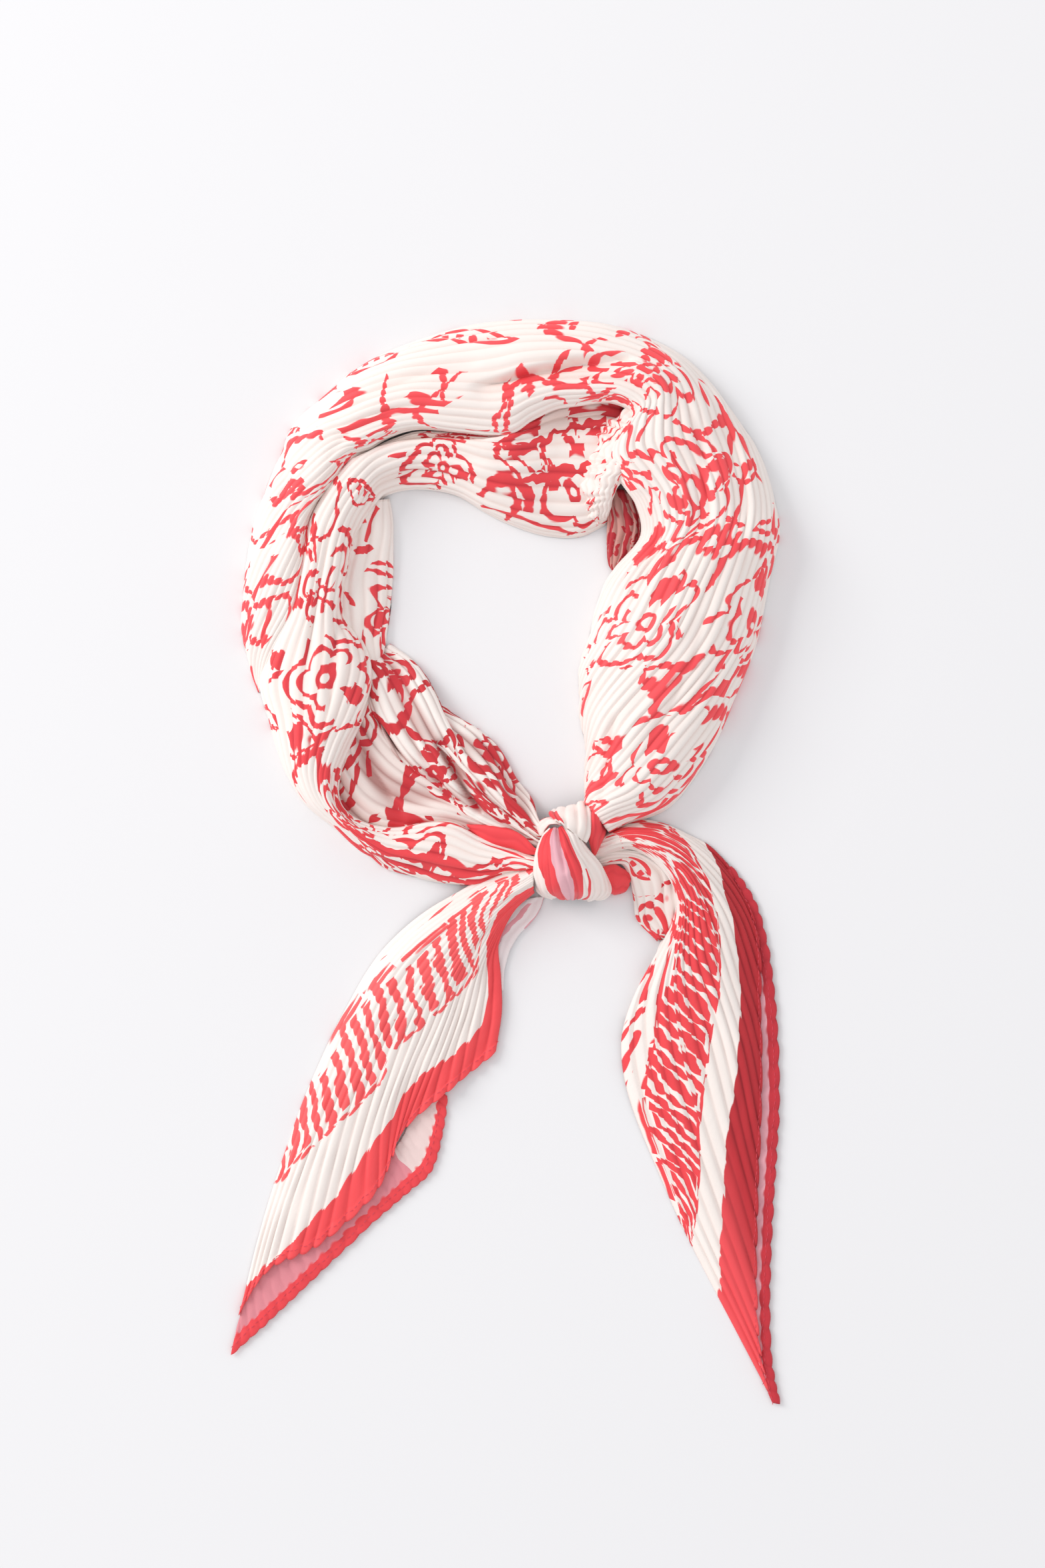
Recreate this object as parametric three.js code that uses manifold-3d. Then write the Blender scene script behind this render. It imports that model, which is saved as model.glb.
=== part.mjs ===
// A pleated square scarf, folded on the bias, wound into a loop and tied, lying flat on a surface.
// Millimetres, +Z up, the loop towards +Y and the two tails towards -Y.
import * as THREE from "three";
import Module from "manifold-3d";

const wasm = await Module();
wasm.setup();

const clothWall = 1.2; // thickness of every wall of cloth
const seamGap = 0.35; // clearance between one stretch and the next
const pleatRise = 0.9; // height of a pleat over the plain inside
const pleatShare = 0.28; // most of a pleat's own width that it may rise by
const depthShare = 0.33; // most of a section's width that its wall may take
const roundness = 0.8; // exponent of the rolled profile, lower is squarer
const sectionLength = 18; // usual distance from one section of a roll to the next
const layerStep = 0.3; // how far each hidden layer stands out at the edge of a heap
const heapFoot = 0.6; // height of the upright foot of a heap
const noVolume = 1e-6; // a common volume that counts as none
const columnsPerInner = 4; // columns of the pleated face to one of the plain inside
const probeAlong = 1e-3; // steps that the surface directions are measured with
const probeAcross = 0.06;

const creamCloth = 0xf3ebe3;
const redCloth = 0xd8434e;
const hiddenCloth = 0xe9d9d3;

// Turns rows of numbers into rows with named columns.
function table(columns, rows) {
  const names = columns.split(" ");
  return rows.map((row) => Object.fromEntries(names.map((name, i) => [name, row[i]])));
}

const section = "ax ay az bx by bz rise";

// The outer roll of the loop, clockwise from the knot: outline edge a, fold edge b, rise between them.
const loopRows = table(section, [
  [47, 13, 4, 36.5, 26, 5, 11],
  [56, 17.5, 2, 36.3, 33, 2, 16],
  [73, 24, 0, 37.3, 43, 0, 20],
  [87, 41, 0, 36.5, 55, 0, 22],
  [97.5, 60, 0, 34, 70, 0, 23],
  [106, 80, 0, 34, 85, 0, 24],
  [113, 100, 0, 38, 101, 0, 24],
  [117.7, 123, 0, 44, 120, 0, 25],
  [122.5, 145, 0, 49.8, 131, 2, 25],
  [121.5, 161, 0, 60.5, 145, 9, 18],
  [117, 175, 0, 59, 159, 13, 15],
  [111.5, 188.5, 0, 52, 170, 15, 13],
  [104.5, 199, 0, 46, 180, 13, 14],
  [95.5, 212, 0, 50, 191, 12, 14],
  [82.5, 224, 0, 57, 200, 12, 14],
  [67, 234, 0, 47, 205.3, 12, 14],
  [50, 240, 0, 32.5, 204, 12, 14],
  [31, 243, 0, 22, 202.4, 12, 14],
  [10, 243.5, 0, 12, 197.6, 12, 14],
  [-10, 241.3, 0, 1, 190.5, 12, 14],
  [-30, 236.5, 0, -19.5, 191.8, 12, 14],
  [-49, 230, 0, -38, 193, 12, 14],
  [-67.5, 220, 0, -52, 189, 12, 14],
  [-81, 209.5, 0, -61, 183.5, 12, 14],
  [-93, 197.5, 0, -68, 179.3, 12, 13],
  [-102.5, 179.5, 0, -76, 166.5, 12, 13],
  [-110.5, 156, 0, -84, 153, 12, 12],
  [-116.3, 132, 0, -88.3, 132, 12, 11],
  [-118, 108, 0, -90.8, 112, 11, 10],
  [-115.5, 91, 0, -97, 94, 9, 8],
  [-109.5, 76, 0, -104.5, 79, 4, 4],
]);
const loopStretches = table("name first last steps", [
  ["loop_right", 0, 10, 13],
  ["loop_top", 10, 23, 14],
  ["loop_left", 23, 30, 8],
]);

// The inner roll, from under the collar to the left, down and back to the knot.
const innerRows = table(section, [
  [50, 194, 6, 46.5, 152, 1, 8],
  [38, 200, 7, 34, 146, 0, 12],
  [25, 199, 7, 20, 146.4, 0, 13],
  [10, 197, 8, 7, 150, 0, 13],
  [-5, 194.5, 9, -8, 156.5, 0, 13],
  [-22, 195, 9, -22, 164.6, 0, 12],
  [-40, 195, 9, -38, 167.7, 0, 12],
  [-57, 189, 9, -52, 165.6, 0, 12],
  [-68, 180.5, 9, -58.5, 159.5, 0, 13],
  [-78, 169, 9, -65, 149.5, 3, 12],
  [-87, 153, 9, -67.6, 139, 5, 12],
  [-91.5, 133, 9, -69.2, 127, 5, 12],
  [-94.5, 113, 8, -70.5, 110, 5, 12],
  [-100, 95, 6, -64, 97, 4, 14],
  [-106, 79, 1, -60, 83, 4.2, 17],
  [-105.5, 64, 0, -63, 66, 4.2, 18],
  [-101.6, 50, 0, -69.5, 50.5, 4.2, 17],
  [-97, 38, 0, -74.2, 38, 4.2, 16],
  [-89, 26, 0, -74, 27.5, 4.2, 15],
  [-78, 16.5, 0, -69, 20.5, 4.2, 14],
  [-67, 7, 0, -60, 16, 4.2, 12],
  [-55, -2.2, 0, -48, 14.8, 4.2, 11],
  [-41, -6.7, 0, -33, 17.6, 4.2, 11],
  [-27, -9.8, 0, -22, 17.4, 4.2, 11],
  [-12, -10, 1, -11, 11, 4.5, 10],
  [1, -5.5, 4, 0, 6, 5, 9],
  [12.3, -3, 7, 12.3, 1.5, 8, 7],
]);
const innerStretches = table("name first last steps", [
  ["inner_top", 0, 8, 9],
  ["inner_left", 8, 17, 10],
  ["front_strand", 17, 26, 11],
]);

// The flat layer that shows inside the left of the loop.
const underRows = table(section, [
  [-62, 161, 3, -52, 163, 0, 3],
  [-69, 150, 3, -50.6, 150, 0, 5],
  [-73, 138, 3, -50.4, 135, 0, 6],
  [-75, 122, 3, -51, 120, 0, 6],
  [-74, 105, 2, -53, 105, 0, 6],
  [-68, 92, 1, -55, 93, 0, 5],
  [-62, 84, 0, -57.5, 84, 0, 3],
]);

// The rolled collar of cloth over the pocket, and the cloth that shows inside the pocket.
const collarRows = table(section, [
  [60, 203, 13, 66, 199, 17, 2],
  [51, 199.5, 10, 60, 192, 17, 4],
  [43, 191.5, 8, 55, 184, 17, 6],
  [38, 181, 7, 52, 176.5, 16, 7],
  [35, 171, 6, 49.5, 170.6, 14, 7],
  [37.5, 163, 4, 46.8, 163.5, 9, 6],
  [38, 155, 2, 45.6, 156, 5, 4],
  [42, 151, 1, 44.5, 152.5, 2, 2],
]);
const pocketRows = table(section, [
  [44, 168, 6, 58, 166, 5, 1],
  [46.5, 155, 4, 61, 152, 4, 1],
  [46, 143, 2, 60, 142, 2, 1],
  [46.5, 134, 1.3, 54, 134, 1.3, 0.8],
]);

// The cloth that fans out from the knot behind the left of the loop, in three layers.
const fanBackRows = table(section, [
  [15.5, 17.5, 6, 14, 12, 8, 4],
  [11, 27, 1, 5, 18, 6, 6],
  [4, 36.5, 0, -6, 26, 6, 7],
  [-3, 51, 0, -17, 37, 6, 7],
  [-14, 62.5, 0, -27, 50, 5, 7],
  [-26, 68.5, 0, -40, 60, 3, 6],
]);
const fanFrontRows = table(section, [
  [14, 12.5, 9, 12.8, 8.5, 9, 3],
  [5, 20, 9, 0, 14, 7, 4],
  [-7, 30, 8, -14, 20, 6, 5],
  [-18, 44, 7, -31, 30, 4, 6],
  [-27, 60, 6, -46, 43, 3, 7],
  [-30, 76, 3, -58, 60, 2, 7],
  [-38, 89, 0, -64, 76, 1, 6],
  [-51, 97.5, 0, -68, 88, 0, 2],
]);
const fanTroughRows = table(section, [
  [9, 11, 6, 8, 4, 6, 1],
  [-8, 24, 4, -10, 9, 3, 2],
  [-24, 32, 3, -26, 13, 1.3, 1.5],
  [-38, 42, 2, -44, 11, 1.3, 1.5],
  [-50, 54, 1.3, -64, 14, 1.3, 1.5],
  [-60, 68, 1.3, -78, 30, 1.3, 1.5],
  [-66, 82, 1.3, -84, 56, 1.3, 1.5],
]);
const redFlapRows = table(section, [
  [-17, 16.5, 7, -15, 14, 7, 1],
  [-8, 16, 9, -8, 8.5, 8, 2],
  [2, 15, 11, 2, 6.3, 9, 2.5],
  [9, 11, 12, 9, 4, 10, 2.5],
  [12.5, 5, 12, 12.2, 3, 11, 1.5],
]);

// The turns of the knot, the front one over the others.
const knotFrontRows = table(section, [
  [20.5, 15, 18, 27, 16, 18, 3],
  [16.5, 10.5, 14, 32, 12.5, 14, 13],
  [14, 5, 8, 37, 5.5, 10, 21],
  [12.9, -2, 5, 43, -1.5, 6, 25],
  [13.2, -8, 3, 46, -7.5, 4, 24],
  [14.5, -12.5, 2, 47, -12.5, 3, 19],
  [17, -15, 1, 45, -15.4, 2, 12],
  [21, -16.4, 1, 41, -16.8, 2, 6],
]);
const knotBackRows = table(section, [
  [23, 18.6, 22, 36, 8.6, 17, 4],
  [21.5, 20.3, 17, 38, 14, 16, 6],
  [20.5, 22, 10, 38.5, 21, 11, 7],
  [22, 23, 3, 37.5, 27, 4, 5],
]);
const knotRedRows = table(section, [
  [36.5, 27.4, 3, 41, 26.5, 1, 2],
  [39, 23, 11, 44, 22, 3, 6],
  [39.2, 17, 14, 45.6, 16, 4, 7],
  [38, 11, 14, 44.8, 11, 5, 7],
  [38.6, 6.5, 12, 42, 6, 8, 4],
]);
const knotSmallRows = table(section, [
  [15, 12, 7, 17.5, 11.5, 12, 3],
  [14.3, 16, 5, 18.5, 14.5, 14, 5],
  [17.5, 19, 7, 20, 16.6, 17, 5],
  [21.5, 20, 13, 22.5, 17.2, 20, 3],
]);
const knotEndRows = table(section, [
  [44, -2.5, 4, 46.6, -13.5, 2, 5],
  [50, -1.8, 3, 50, -15, 0, 7],
  [55.5, -4.5, 1, 54, -13.5, 0, 5],
  [57, -7, 0.5, 56, -11, 0, 3],
]);

// The right tail: hem edge a, fold edge b, from the knot to the tip.
const rightTailRows = table(section, [
  [45.5, 11, 6, 42.5, 1.5, 6, 10],
  [54, 17, 3, 50, 3.8, 6, 10],
  [66, 18.3, 1, 60, 5, 7, 9],
  [80, 12, 1, 68.5, 2.8, 7, 8],
  [91, 7, 1, 74.5, -5.5, 6.5, 8],
  [101, -4, 1.2, 77.5, -13, 6, 8],
  [109, -18, 1.6, 76, -22, 5.5, 7],
  [114, -36, 2, 73, -36, 5, 7],
  [116.5, -56, 2, 69.5, -55, 4.5, 6],
  [118, -78, 2, 57, -70, 3, 6],
  [118.5, -100, 2, 51.3, -84, 1, 6],
  [118, -124, 2, 57, -104, 0, 5.5],
  [117, -148, 2, 67.5, -128, 0, 5],
  [116, -176, 2, 77, -159, 0, 4.5],
  [115.5, -200, 2, 88, -186, 0, 4],
  [117, -221, 2, 101, -212, 0, 3.5],
  [119.5, -233, 1.5, 112, -234, 0, 3],
  [122.5, -241.5, 1.2, 119, -241, 0, 2],
]);
const rightUnderRows = table(section, [
  [105, 0.5, 1.3, 98, -3, 1.3, 0.6],
  [113.5, -18, 1.3, 104, -20, 1.3, 0.6],
  [119, -42, 1.3, 108, -42, 1.3, 0.6],
  [122.3, -71, 1.3, 111, -71, 1.3, 0.6],
  [123.5, -105, 1.3, 112, -105, 1.3, 0.6],
  [122, -135, 1.3, 111, -135, 1.3, 0.6],
  [120.3, -162, 1.3, 110, -162, 1.3, 0.6],
  [119.1, -194, 1.3, 110, -194, 1.3, 0.6],
  [120, -225, 1.3, 113, -222, 1.3, 0.5],
  [123.7, -244.1, 1.3, 121, -243.4, 1.3, 0.4],
]);
// The inner face of the right tail under its arch, and the flap behind its fold.
const rightArchRows = table(section, [
  [52, -1, 4, 61, 3, 2, 1],
  [56.5, -7, 3, 68, -3, 2, 2],
  [58.2, -16, 1.3, 72, -13, 1.3, 3],
  [59.5, -25, 1.3, 73, -23, 1.3, 3],
  [69, -34, 1.3, 73, -33, 1.3, 1.5],
]);
const rightFlapRows = table(section, [
  [72, -34, 1.3, 78, -36, 1.3, 1],
  [66, -45.5, 1.3, 77, -47, 1.3, 1.2],
  [61, -57, 1.3, 73, -59, 1.3, 1.2],
  [55, -70.5, 1.3, 61, -68.5, 1.3, 1],
]);

// The left tail: each row is one long fold from the knot to the hem, outline first.
const leftTailFolds = table("x0 y0 z0 x1 y1 z1 x2 y2 z2 x3 y3 z3 x4 y4 z4 x5 y5 z5", [
  [13, -0.5, 8, -16, -11, 4, -55, -40, 0, -85, -94, 0, -106, -152, 0, -120, -206, 1],
  [13, -2.5, 12, -15, -17, 10, -50, -46, 9, -75, -95, 6, -94, -145, 4.5, -106, -184, 3.4],
  [13, -6, 14, -12, -22, 12, -40, -51, 10, -60, -90, 8, -74, -130, 6, -84, -173, 3.4],
  [13, -9, 13, -8, -25, 12, -29, -53, 10, -43, -82, 8, -54, -115, 6, -58, -149, 3.4],
  [13, -11.5, 11, -4, -26, 10, -19, -50, 9, -28, -74, 7, -38, -98, 5, -46, -122, 3.4],
  [13.2, -13, 8, 0, -25, 8, -10, -46, 7, -15, -64, 6, -20, -82, 5, -25, -103, 3.4],
  [13.6, -14, 5, 4, -22, 5, -2.5, -36, 4, -1.5, -52, 3, -1.2, -68, 2.5, -4, -86, 2],
]);
const leftUnderRows = table(section, [
  [-123.2, -222, 1.3, -121, -212, 1.3, 0.4],
  [-108.9, -209.3, 1.3, -114, -190, 1.3, 0.6],
  [-95, -196.3, 1.3, -101, -178, 1.3, 0.6],
  [-78, -180, 1.3, -86, -165, 1.3, 0.6],
  [-60, -163, 1.3, -68, -150, 1.3, 0.6],
  [-44, -149.2, 1.3, -54, -134, 1.3, 0.6],
  [-33, -139, 1.3, -46, -124, 1.3, 0.6],
  [-28, -122, 1.3, -40, -110, 1.3, 0.6],
  [-25.7, -105.5, 1.3, -35, -98, 1.3, 0.5],
]);
const leftSheerRows = table(section, [
  [18, -15.5, 1.3, 8, -17, 1.3, 0.5],
  [15, -23, 1.3, 1, -22, 1.3, 0.6],
  [5, -35, 1.3, -8, -34, 1.3, 0.6],
  [0.5, -46, 1.3, -12, -46, 1.3, 0.6],
  [-0.6, -58, 1.3, -12, -60, 1.3, 0.5],
]);

// The hidden layers inside the loop, the knot and the tails: rounded, flat below.
const loopHeapRows = table(section, [
  [50, 18, 0, 39, 27, 0, 8],
  [70, 28, 0, 41, 44, 0, 14],
  [93, 62, 0, 38, 71, 0, 17],
  [108.5, 101, 0, 42, 102, 0, 18],
  [117, 146, 0, 56, 134, 0, 16],
  [112, 176, 0, 66, 150, 0, 9],
  [91, 211, 0, 62, 172, 0, 7],
  [49, 235, 0, 44, 178, 0, 6],
  [8, 238, 0, 8, 157, 0, 6],
  [-30, 231, 0, -23, 170, 0, 6],
  [-66, 214, 0, -50, 171, 0, 6],
  [-96, 179, 0, -66, 160, 0, 6],
  [-109, 148, 0, -74, 143, 0, 5],
  [-112, 108, 0, -78, 111, 0, 5],
  [-100, 76, 0, -80, 80, 0, 6],
  [-95, 50, 0, -80, 51, 0, 8],
  [-84, 28, 0, -78, 29, 0, 8],
]);
const strandHeapRows = table(section, [
  [-67, 12, 0, -64, 14.5, 0, 5],
  [-54, 3, 0, -50, 10, 0, 7],
  [-41, -2, 0, -36, 12, 0, 7],
  [-27, -4, 0, -24, 12, 0, 7],
  [-10, -5, 0, -10, 6, 0, 6],
]);
const knotHeapRows = table(section, [
  [18, -12.5, 0, 42, -12.5, 0, 12],
  [17, -6, 0, 42, -6, 0, 20],
  [17, 1, 0, 40, 1, 0, 22],
  [18, 9, 0, 38, 9, 0, 19],
  [22, 16, 0, 38, 17, 0, 14],
  [25, 20.5, 0, 37, 22, 0, 7],
]);
const leftHeapRows = table(section, [
  [-6, -14, 0, 3, -19, 0, 7],
  [-30, -27, 0, -14, -40, 0, 6],
  [-60, -56, 0, -30, -70, 0, 5],
  [-80, -96, 0, -46, -96, 0, 3.5],
  [-96, -142, 0, -66, -128, 0, 2],
]);
const rightHeapRows = table(section, [
  [60, 14, 0, 62, 8, 0, 8],
  [80, 7, 0, 74, 1, 0, 9],
  [96, -8, 0, 80, -14, 0, 8],
  [104, -38, 0, 79, -38, 0, 7],
  [106, -78, 0, 68, -74, 0, 5],
  [107, -118, 0, 66, -108, 0, 4],
  [108, -160, 0, 84, -152, 0, 2.6],
]);

// Catmull-Rom value through the numbers of a list, at a share of its length.
function smooth(values, share) {
  const last = values.length - 1;
  const place = Math.min(Math.max(share, 0), 1) * last;
  const i = Math.min(Math.floor(place), last - 1);
  const f = place - i;
  const q = values[i];
  const r = values[i + 1];
  const p = i > 0 ? values[i - 1] : 2 * q - r;
  const s = i + 2 <= last ? values[i + 2] : 2 * r - q;
  const bend = (2 * p - 5 * q + 4 * r - s) * f + (3 * q - p - 3 * r + s) * f * f;
  return q + 0.5 * f * (r - p + bend);
}

// The rolled surface of a table of sections: along is the share of the rows, across runs from a to b.
function rolled(rows) {
  const column = (name) => rows.map((row) => row[name]);
  const lists = Object.fromEntries(section.split(" ").map((name) => [name, column(name)]));
  return (along, across) => {
    const at = (name) => smooth(lists[name], along);
    const side = (1 - Math.cos(Math.PI * across)) / 2;
    const crown = Math.pow(Math.max(Math.sin(Math.PI * across), 0), roundness);
    const mix = (a, b) => at(a) + (at(b) - at(a)) * side;
    return new THREE.Vector3(mix("ax", "bx"), mix("ay", "by"), mix("az", "bz") + at("rise") * crown);
  };
}

// The draped surface of a table of folds: along follows each fold, across goes from fold to fold.
function draped(folds) {
  const stations = Object.keys(folds[0]).length / 3;
  const lists = (axis) =>
    folds.map((fold) => Array.from({ length: stations }, (_, k) => fold[axis + k]));
  const grids = { x: lists("x"), y: lists("y"), z: lists("z") };
  const at = (axis, along, across) =>
    smooth(grids[axis].map((line) => smooth(line, along)), across);
  return (along, across) =>
    new THREE.Vector3(...["x", "y", "z"].map((axis) => at(axis, along, across)));
}

// Unit directions along, across and out of a surface, out being the side that faces up.
function frameAt(surface, along, across) {
  const clampedAlong = Math.min(Math.max(along, probeAlong), 1 - probeAlong);
  const clampedAcross = Math.min(Math.max(across, probeAcross), 1 - probeAcross);
  const difference = (da, dc) =>
    surface(clampedAlong + da, clampedAcross + dc)
      .sub(surface(clampedAlong - da, clampedAcross - dc))
      .normalize();
  const forward = difference(probeAlong, 0);
  const sideways = difference(0, probeAcross);
  return { forward, sideways, out: forward.clone().cross(sideways).normalize() };
}

// Whether the outward direction in the middle of a surface points down, so that it has to be turned.
function facesDown(surface) {
  return frameAt(surface, 0.5, 0.5).out.z < 0;
}

// A closed solid from a pleated face and a plain inside, which has fewer columns.
function shellSolid(outer, inner) {
  const rows = outer.length;
  const wide = outer[0].length;
  const slim = inner[0].length;
  const ratio = (wide - 1) / (slim - 1);
  const points = [...outer.flat(), ...inner.flat()];
  const o = (i, j) => i * wide + j;
  const n = (i, j) => rows * wide + i * slim + j;
  const faces = [];
  const quad = (a, b, c, d) => faces.push(a, b, c, a, c, d);
  for (let i = 0; i + 1 < rows; i++) {
    for (let j = 0; j + 1 < wide; j++) quad(o(i, j), o(i + 1, j), o(i + 1, j + 1), o(i, j + 1));
    for (let j = 0; j + 1 < slim; j++) quad(n(i, j), n(i, j + 1), n(i + 1, j + 1), n(i + 1, j));
    quad(o(i, 0), n(i, 0), n(i + 1, 0), o(i + 1, 0));
    quad(o(i, wide - 1), o(i + 1, wide - 1), n(i + 1, slim - 1), n(i, slim - 1));
  }
  [[0, false], [rows - 1, true]].forEach(([i, far]) => {
    const face = (a, b, c) => (far ? faces.push(a, c, b) : faces.push(a, b, c));
    for (let k = 0; k + 1 < slim; k++) {
      const middle = k * ratio + Math.floor(ratio / 2);
      for (let j = k * ratio; j < middle; j++) face(o(i, j), o(i, j + 1), n(i, k));
      face(o(i, middle), n(i, k + 1), n(i, k));
      for (let j = middle; j < (k + 1) * ratio; j++) face(o(i, j), o(i, j + 1), n(i, k + 1));
    }
  });
  return solidOf(points, faces);
}

// A manifold solid of points and faces, turned outwards if the faces were the wrong way round.
function solidOf(points, faces) {
  const build = (order) =>
    new wasm.Manifold(
      new wasm.Mesh({
        numProp: 3,
        vertProperties: new Float32Array(points.flatMap((p) => [p.x, p.y, p.z])),
        triVerts: new Uint32Array(order),
      }),
    );
  const made = build(faces);
  if (made.volume() >= 0) return made;
  const turned = faces.map((_, i) => faces[i - (i % 3) + [0, 2, 1][i % 3]]);
  return build(turned);
}

// A stretch of cloth: pleats raised on the upper face, plain below, grown all round when it cuts.
function clothWallOf(surface, { first = 0, last = 1, steps, pleats, grow = 0 }) {
  const turn = facesDown(surface) ? -1 : 1;
  const columns = Math.ceil((2 * pleats) / columnsPerInner) * columnsPerInner;
  const outer = [];
  const inner = [];
  for (let i = 0; i <= steps; i++) {
    const along = first + ((last - first) * i) / steps;
    const places = [];
    const frames = [];
    for (let j = 0; j <= columns; j++) {
      places.push(surface(along, j / columns));
      frames.push(frameAt(surface, along, j / columns));
    }
    const end = i === 0 ? -grow : i === steps ? grow : 0;
    const width = places[0].distanceTo(places[columns]);
    const depth = Math.min(clothWall + grow, depthShare * width + grow / 2);
    const moved = (j, height) => {
      const edge = j === 0 ? -grow : j === columns ? grow : 0;
      const { forward, sideways, out } = frames[j];
      const p = places[j].clone().addScaledVector(out, turn * height);
      p.addScaledVector(forward, end).addScaledVector(sideways, edge);
      return grow ? p : p.setZ(Math.max(p.z, 0));
    };
    const ridgeAt = (j) => {
      if (grow) return pleatRise + grow;
      if (j % 2 === 0) return 0;
      return Math.min(pleatRise, pleatShare * places[j - 1].distanceTo(places[j + 1]));
    };
    outer.push(places.map((_, j) => moved(j, ridgeAt(j))));
    inner.push(
      places
        .map((_, j) => moved(j, -depth))
        .filter((_, j) => j % columnsPerInner === 0),
    );
  }
  return shellSolid(outer, inner);
}

// Hidden layers: a rounded heap with a flat underside and low ridges where the layers end.
function heapOf(surface, { steps, columns }) {
  const grid = [];
  const floorLine = [];
  for (let i = 0; i <= steps; i++) {
    const line = [];
    for (let j = 0; j <= columns; j++) {
      const p = surface(i / steps, j / columns);
      const nearEdge = j > 0 && j < columns && (j < columns / 4 || j > (3 * columns) / 4);
      const { sideways } = frameAt(surface, i / steps, j / columns);
      if (nearEdge && j % 2) p.addScaledVector(sideways, layerStep);
      line.push(p.setZ(Math.max(p.z, 0) + heapFoot));
    }
    grid.push(line);
    floorLine.push([line[0].clone().setZ(0), line[columns].clone().setZ(0)]);
  }
  return shellSolid(grid, floorLine);
}

// The largest single body that is left of a solid once what lies on it is cleared away.
function clearedOf(solid, cutters) {
  let left = solid;
  for (const cutter of cutters) {
    if (left.intersect(cutter).volume() > noVolume) left = left.subtract(cutter);
  }
  const bodies = left.decompose();
  return bodies.reduce((best, body) => (body.volume() > best.volume() ? body : best));
}

// A three.js mesh of a manifold solid.
function meshOf(name, solid, color) {
  const { numProp, vertProperties, triVerts } = solid.getMesh();
  const positions = new Float32Array((vertProperties.length / numProp) * 3);
  for (let i = 0; i < positions.length / 3; i++) {
    positions.set(vertProperties.subarray(i * numProp, i * numProp + 3), i * 3);
  }
  const geometry = new THREE.BufferGeometry();
  geometry.setAttribute("position", new THREE.BufferAttribute(positions, 3));
  geometry.setIndex(new THREE.BufferAttribute(new Uint32Array(triVerts), 1));
  geometry.computeVertexNormals();
  const mesh = new THREE.Mesh(geometry, new THREE.MeshStandardMaterial({ color, roughness: 0.7 }));
  mesh.name = name;
  return mesh;
}

// The stretches of one long roll, a seam gap apart.
function stretchesOf(rows, stretches, pleats) {
  const surface = rolled(rows);
  const segments = rows.length - 1;
  return stretches.map(({ name, first, last, steps }) => {
    const margin = seamGap / 2 / sectionLength;
    const from = (first + (first > 0 ? margin : 0)) / segments;
    const to = (last - (last < segments ? margin : 0)) / segments;
    return { name, surface, first: from, last: to, steps, pleats };
  });
}

// Every stretch of cloth, the uppermost first, so that each is cleared of those before it.
const cloth = [
  { name: "knot_front", surface: rolled(knotFrontRows), steps: 10, pleats: 6, color: redCloth },
  { name: "knot_small", surface: rolled(knotSmallRows), steps: 6, pleats: 2 },
  { name: "knot_back", surface: rolled(knotBackRows), steps: 5, pleats: 4 },
  { name: "knot_red", surface: rolled(knotRedRows), steps: 6, pleats: 2, color: redCloth },
  { name: "tail_left", surface: draped(leftTailFolds), steps: 13, pleats: 16 },
  { name: "tail_right", surface: rolled(rightTailRows), steps: 21, pleats: 12 },
  { name: "knot_end", surface: rolled(knotEndRows), steps: 4, pleats: 2, color: redCloth },
  { name: "collar", surface: rolled(collarRows), steps: 9, pleats: 4 },
  ...stretchesOf(loopRows, loopStretches, 16),
  ...stretchesOf(innerRows, innerStretches, 10),
  { name: "loop_under", surface: rolled(underRows), steps: 7, pleats: 4 },
  { name: "pocket", surface: rolled(pocketRows), steps: 4, pleats: 4, color: redCloth },
  { name: "red_flap", surface: rolled(redFlapRows), steps: 5, pleats: 2, color: redCloth },
  { name: "fan_front", surface: rolled(fanFrontRows), steps: 9, pleats: 8 },
  { name: "fan_back", surface: rolled(fanBackRows), steps: 7, pleats: 6 },
  { name: "fan_trough", surface: rolled(fanTroughRows), steps: 8, pleats: 6 },
  { name: "tail_right_arch", surface: rolled(rightArchRows), steps: 5, pleats: 4 },
  { name: "tail_right_flap", surface: rolled(rightFlapRows), steps: 4, pleats: 4 },
  { name: "tail_right_under", surface: rolled(rightUnderRows), steps: 11, pleats: 2, color: redCloth },
  { name: "tail_left_under", surface: rolled(leftUnderRows), steps: 10, pleats: 2, color: redCloth },
  { name: "tail_left_sheer", surface: rolled(leftSheerRows), steps: 5, pleats: 4 },
];
const heaps = [
  { name: "layers_loop", surface: rolled(loopHeapRows), steps: 26, columns: 12 },
  { name: "layers_strand", surface: rolled(strandHeapRows), steps: 6, columns: 8 },
  { name: "layers_knot", surface: rolled(knotHeapRows), steps: 7, columns: 8 },
  { name: "layers_tail_left", surface: rolled(leftHeapRows), steps: 7, columns: 8 },
  { name: "layers_tail_right", surface: rolled(rightHeapRows), steps: 9, columns: 8 },
];

const group = new THREE.Group();
const cutters = [];
for (const piece of cloth) {
  const whole = clothWallOf(piece.surface, piece);
  group.add(meshOf(piece.name, clearedOf(whole, cutters), piece.color ?? creamCloth));
  cutters.push(clothWallOf(piece.surface, { ...piece, grow: seamGap }).add(whole));
}
for (const heap of heaps) {
  const solid = clearedOf(heapOf(heap.surface, heap), cutters);
  group.add(meshOf(heap.name, solid, hiddenCloth));
}

export default group;
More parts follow.
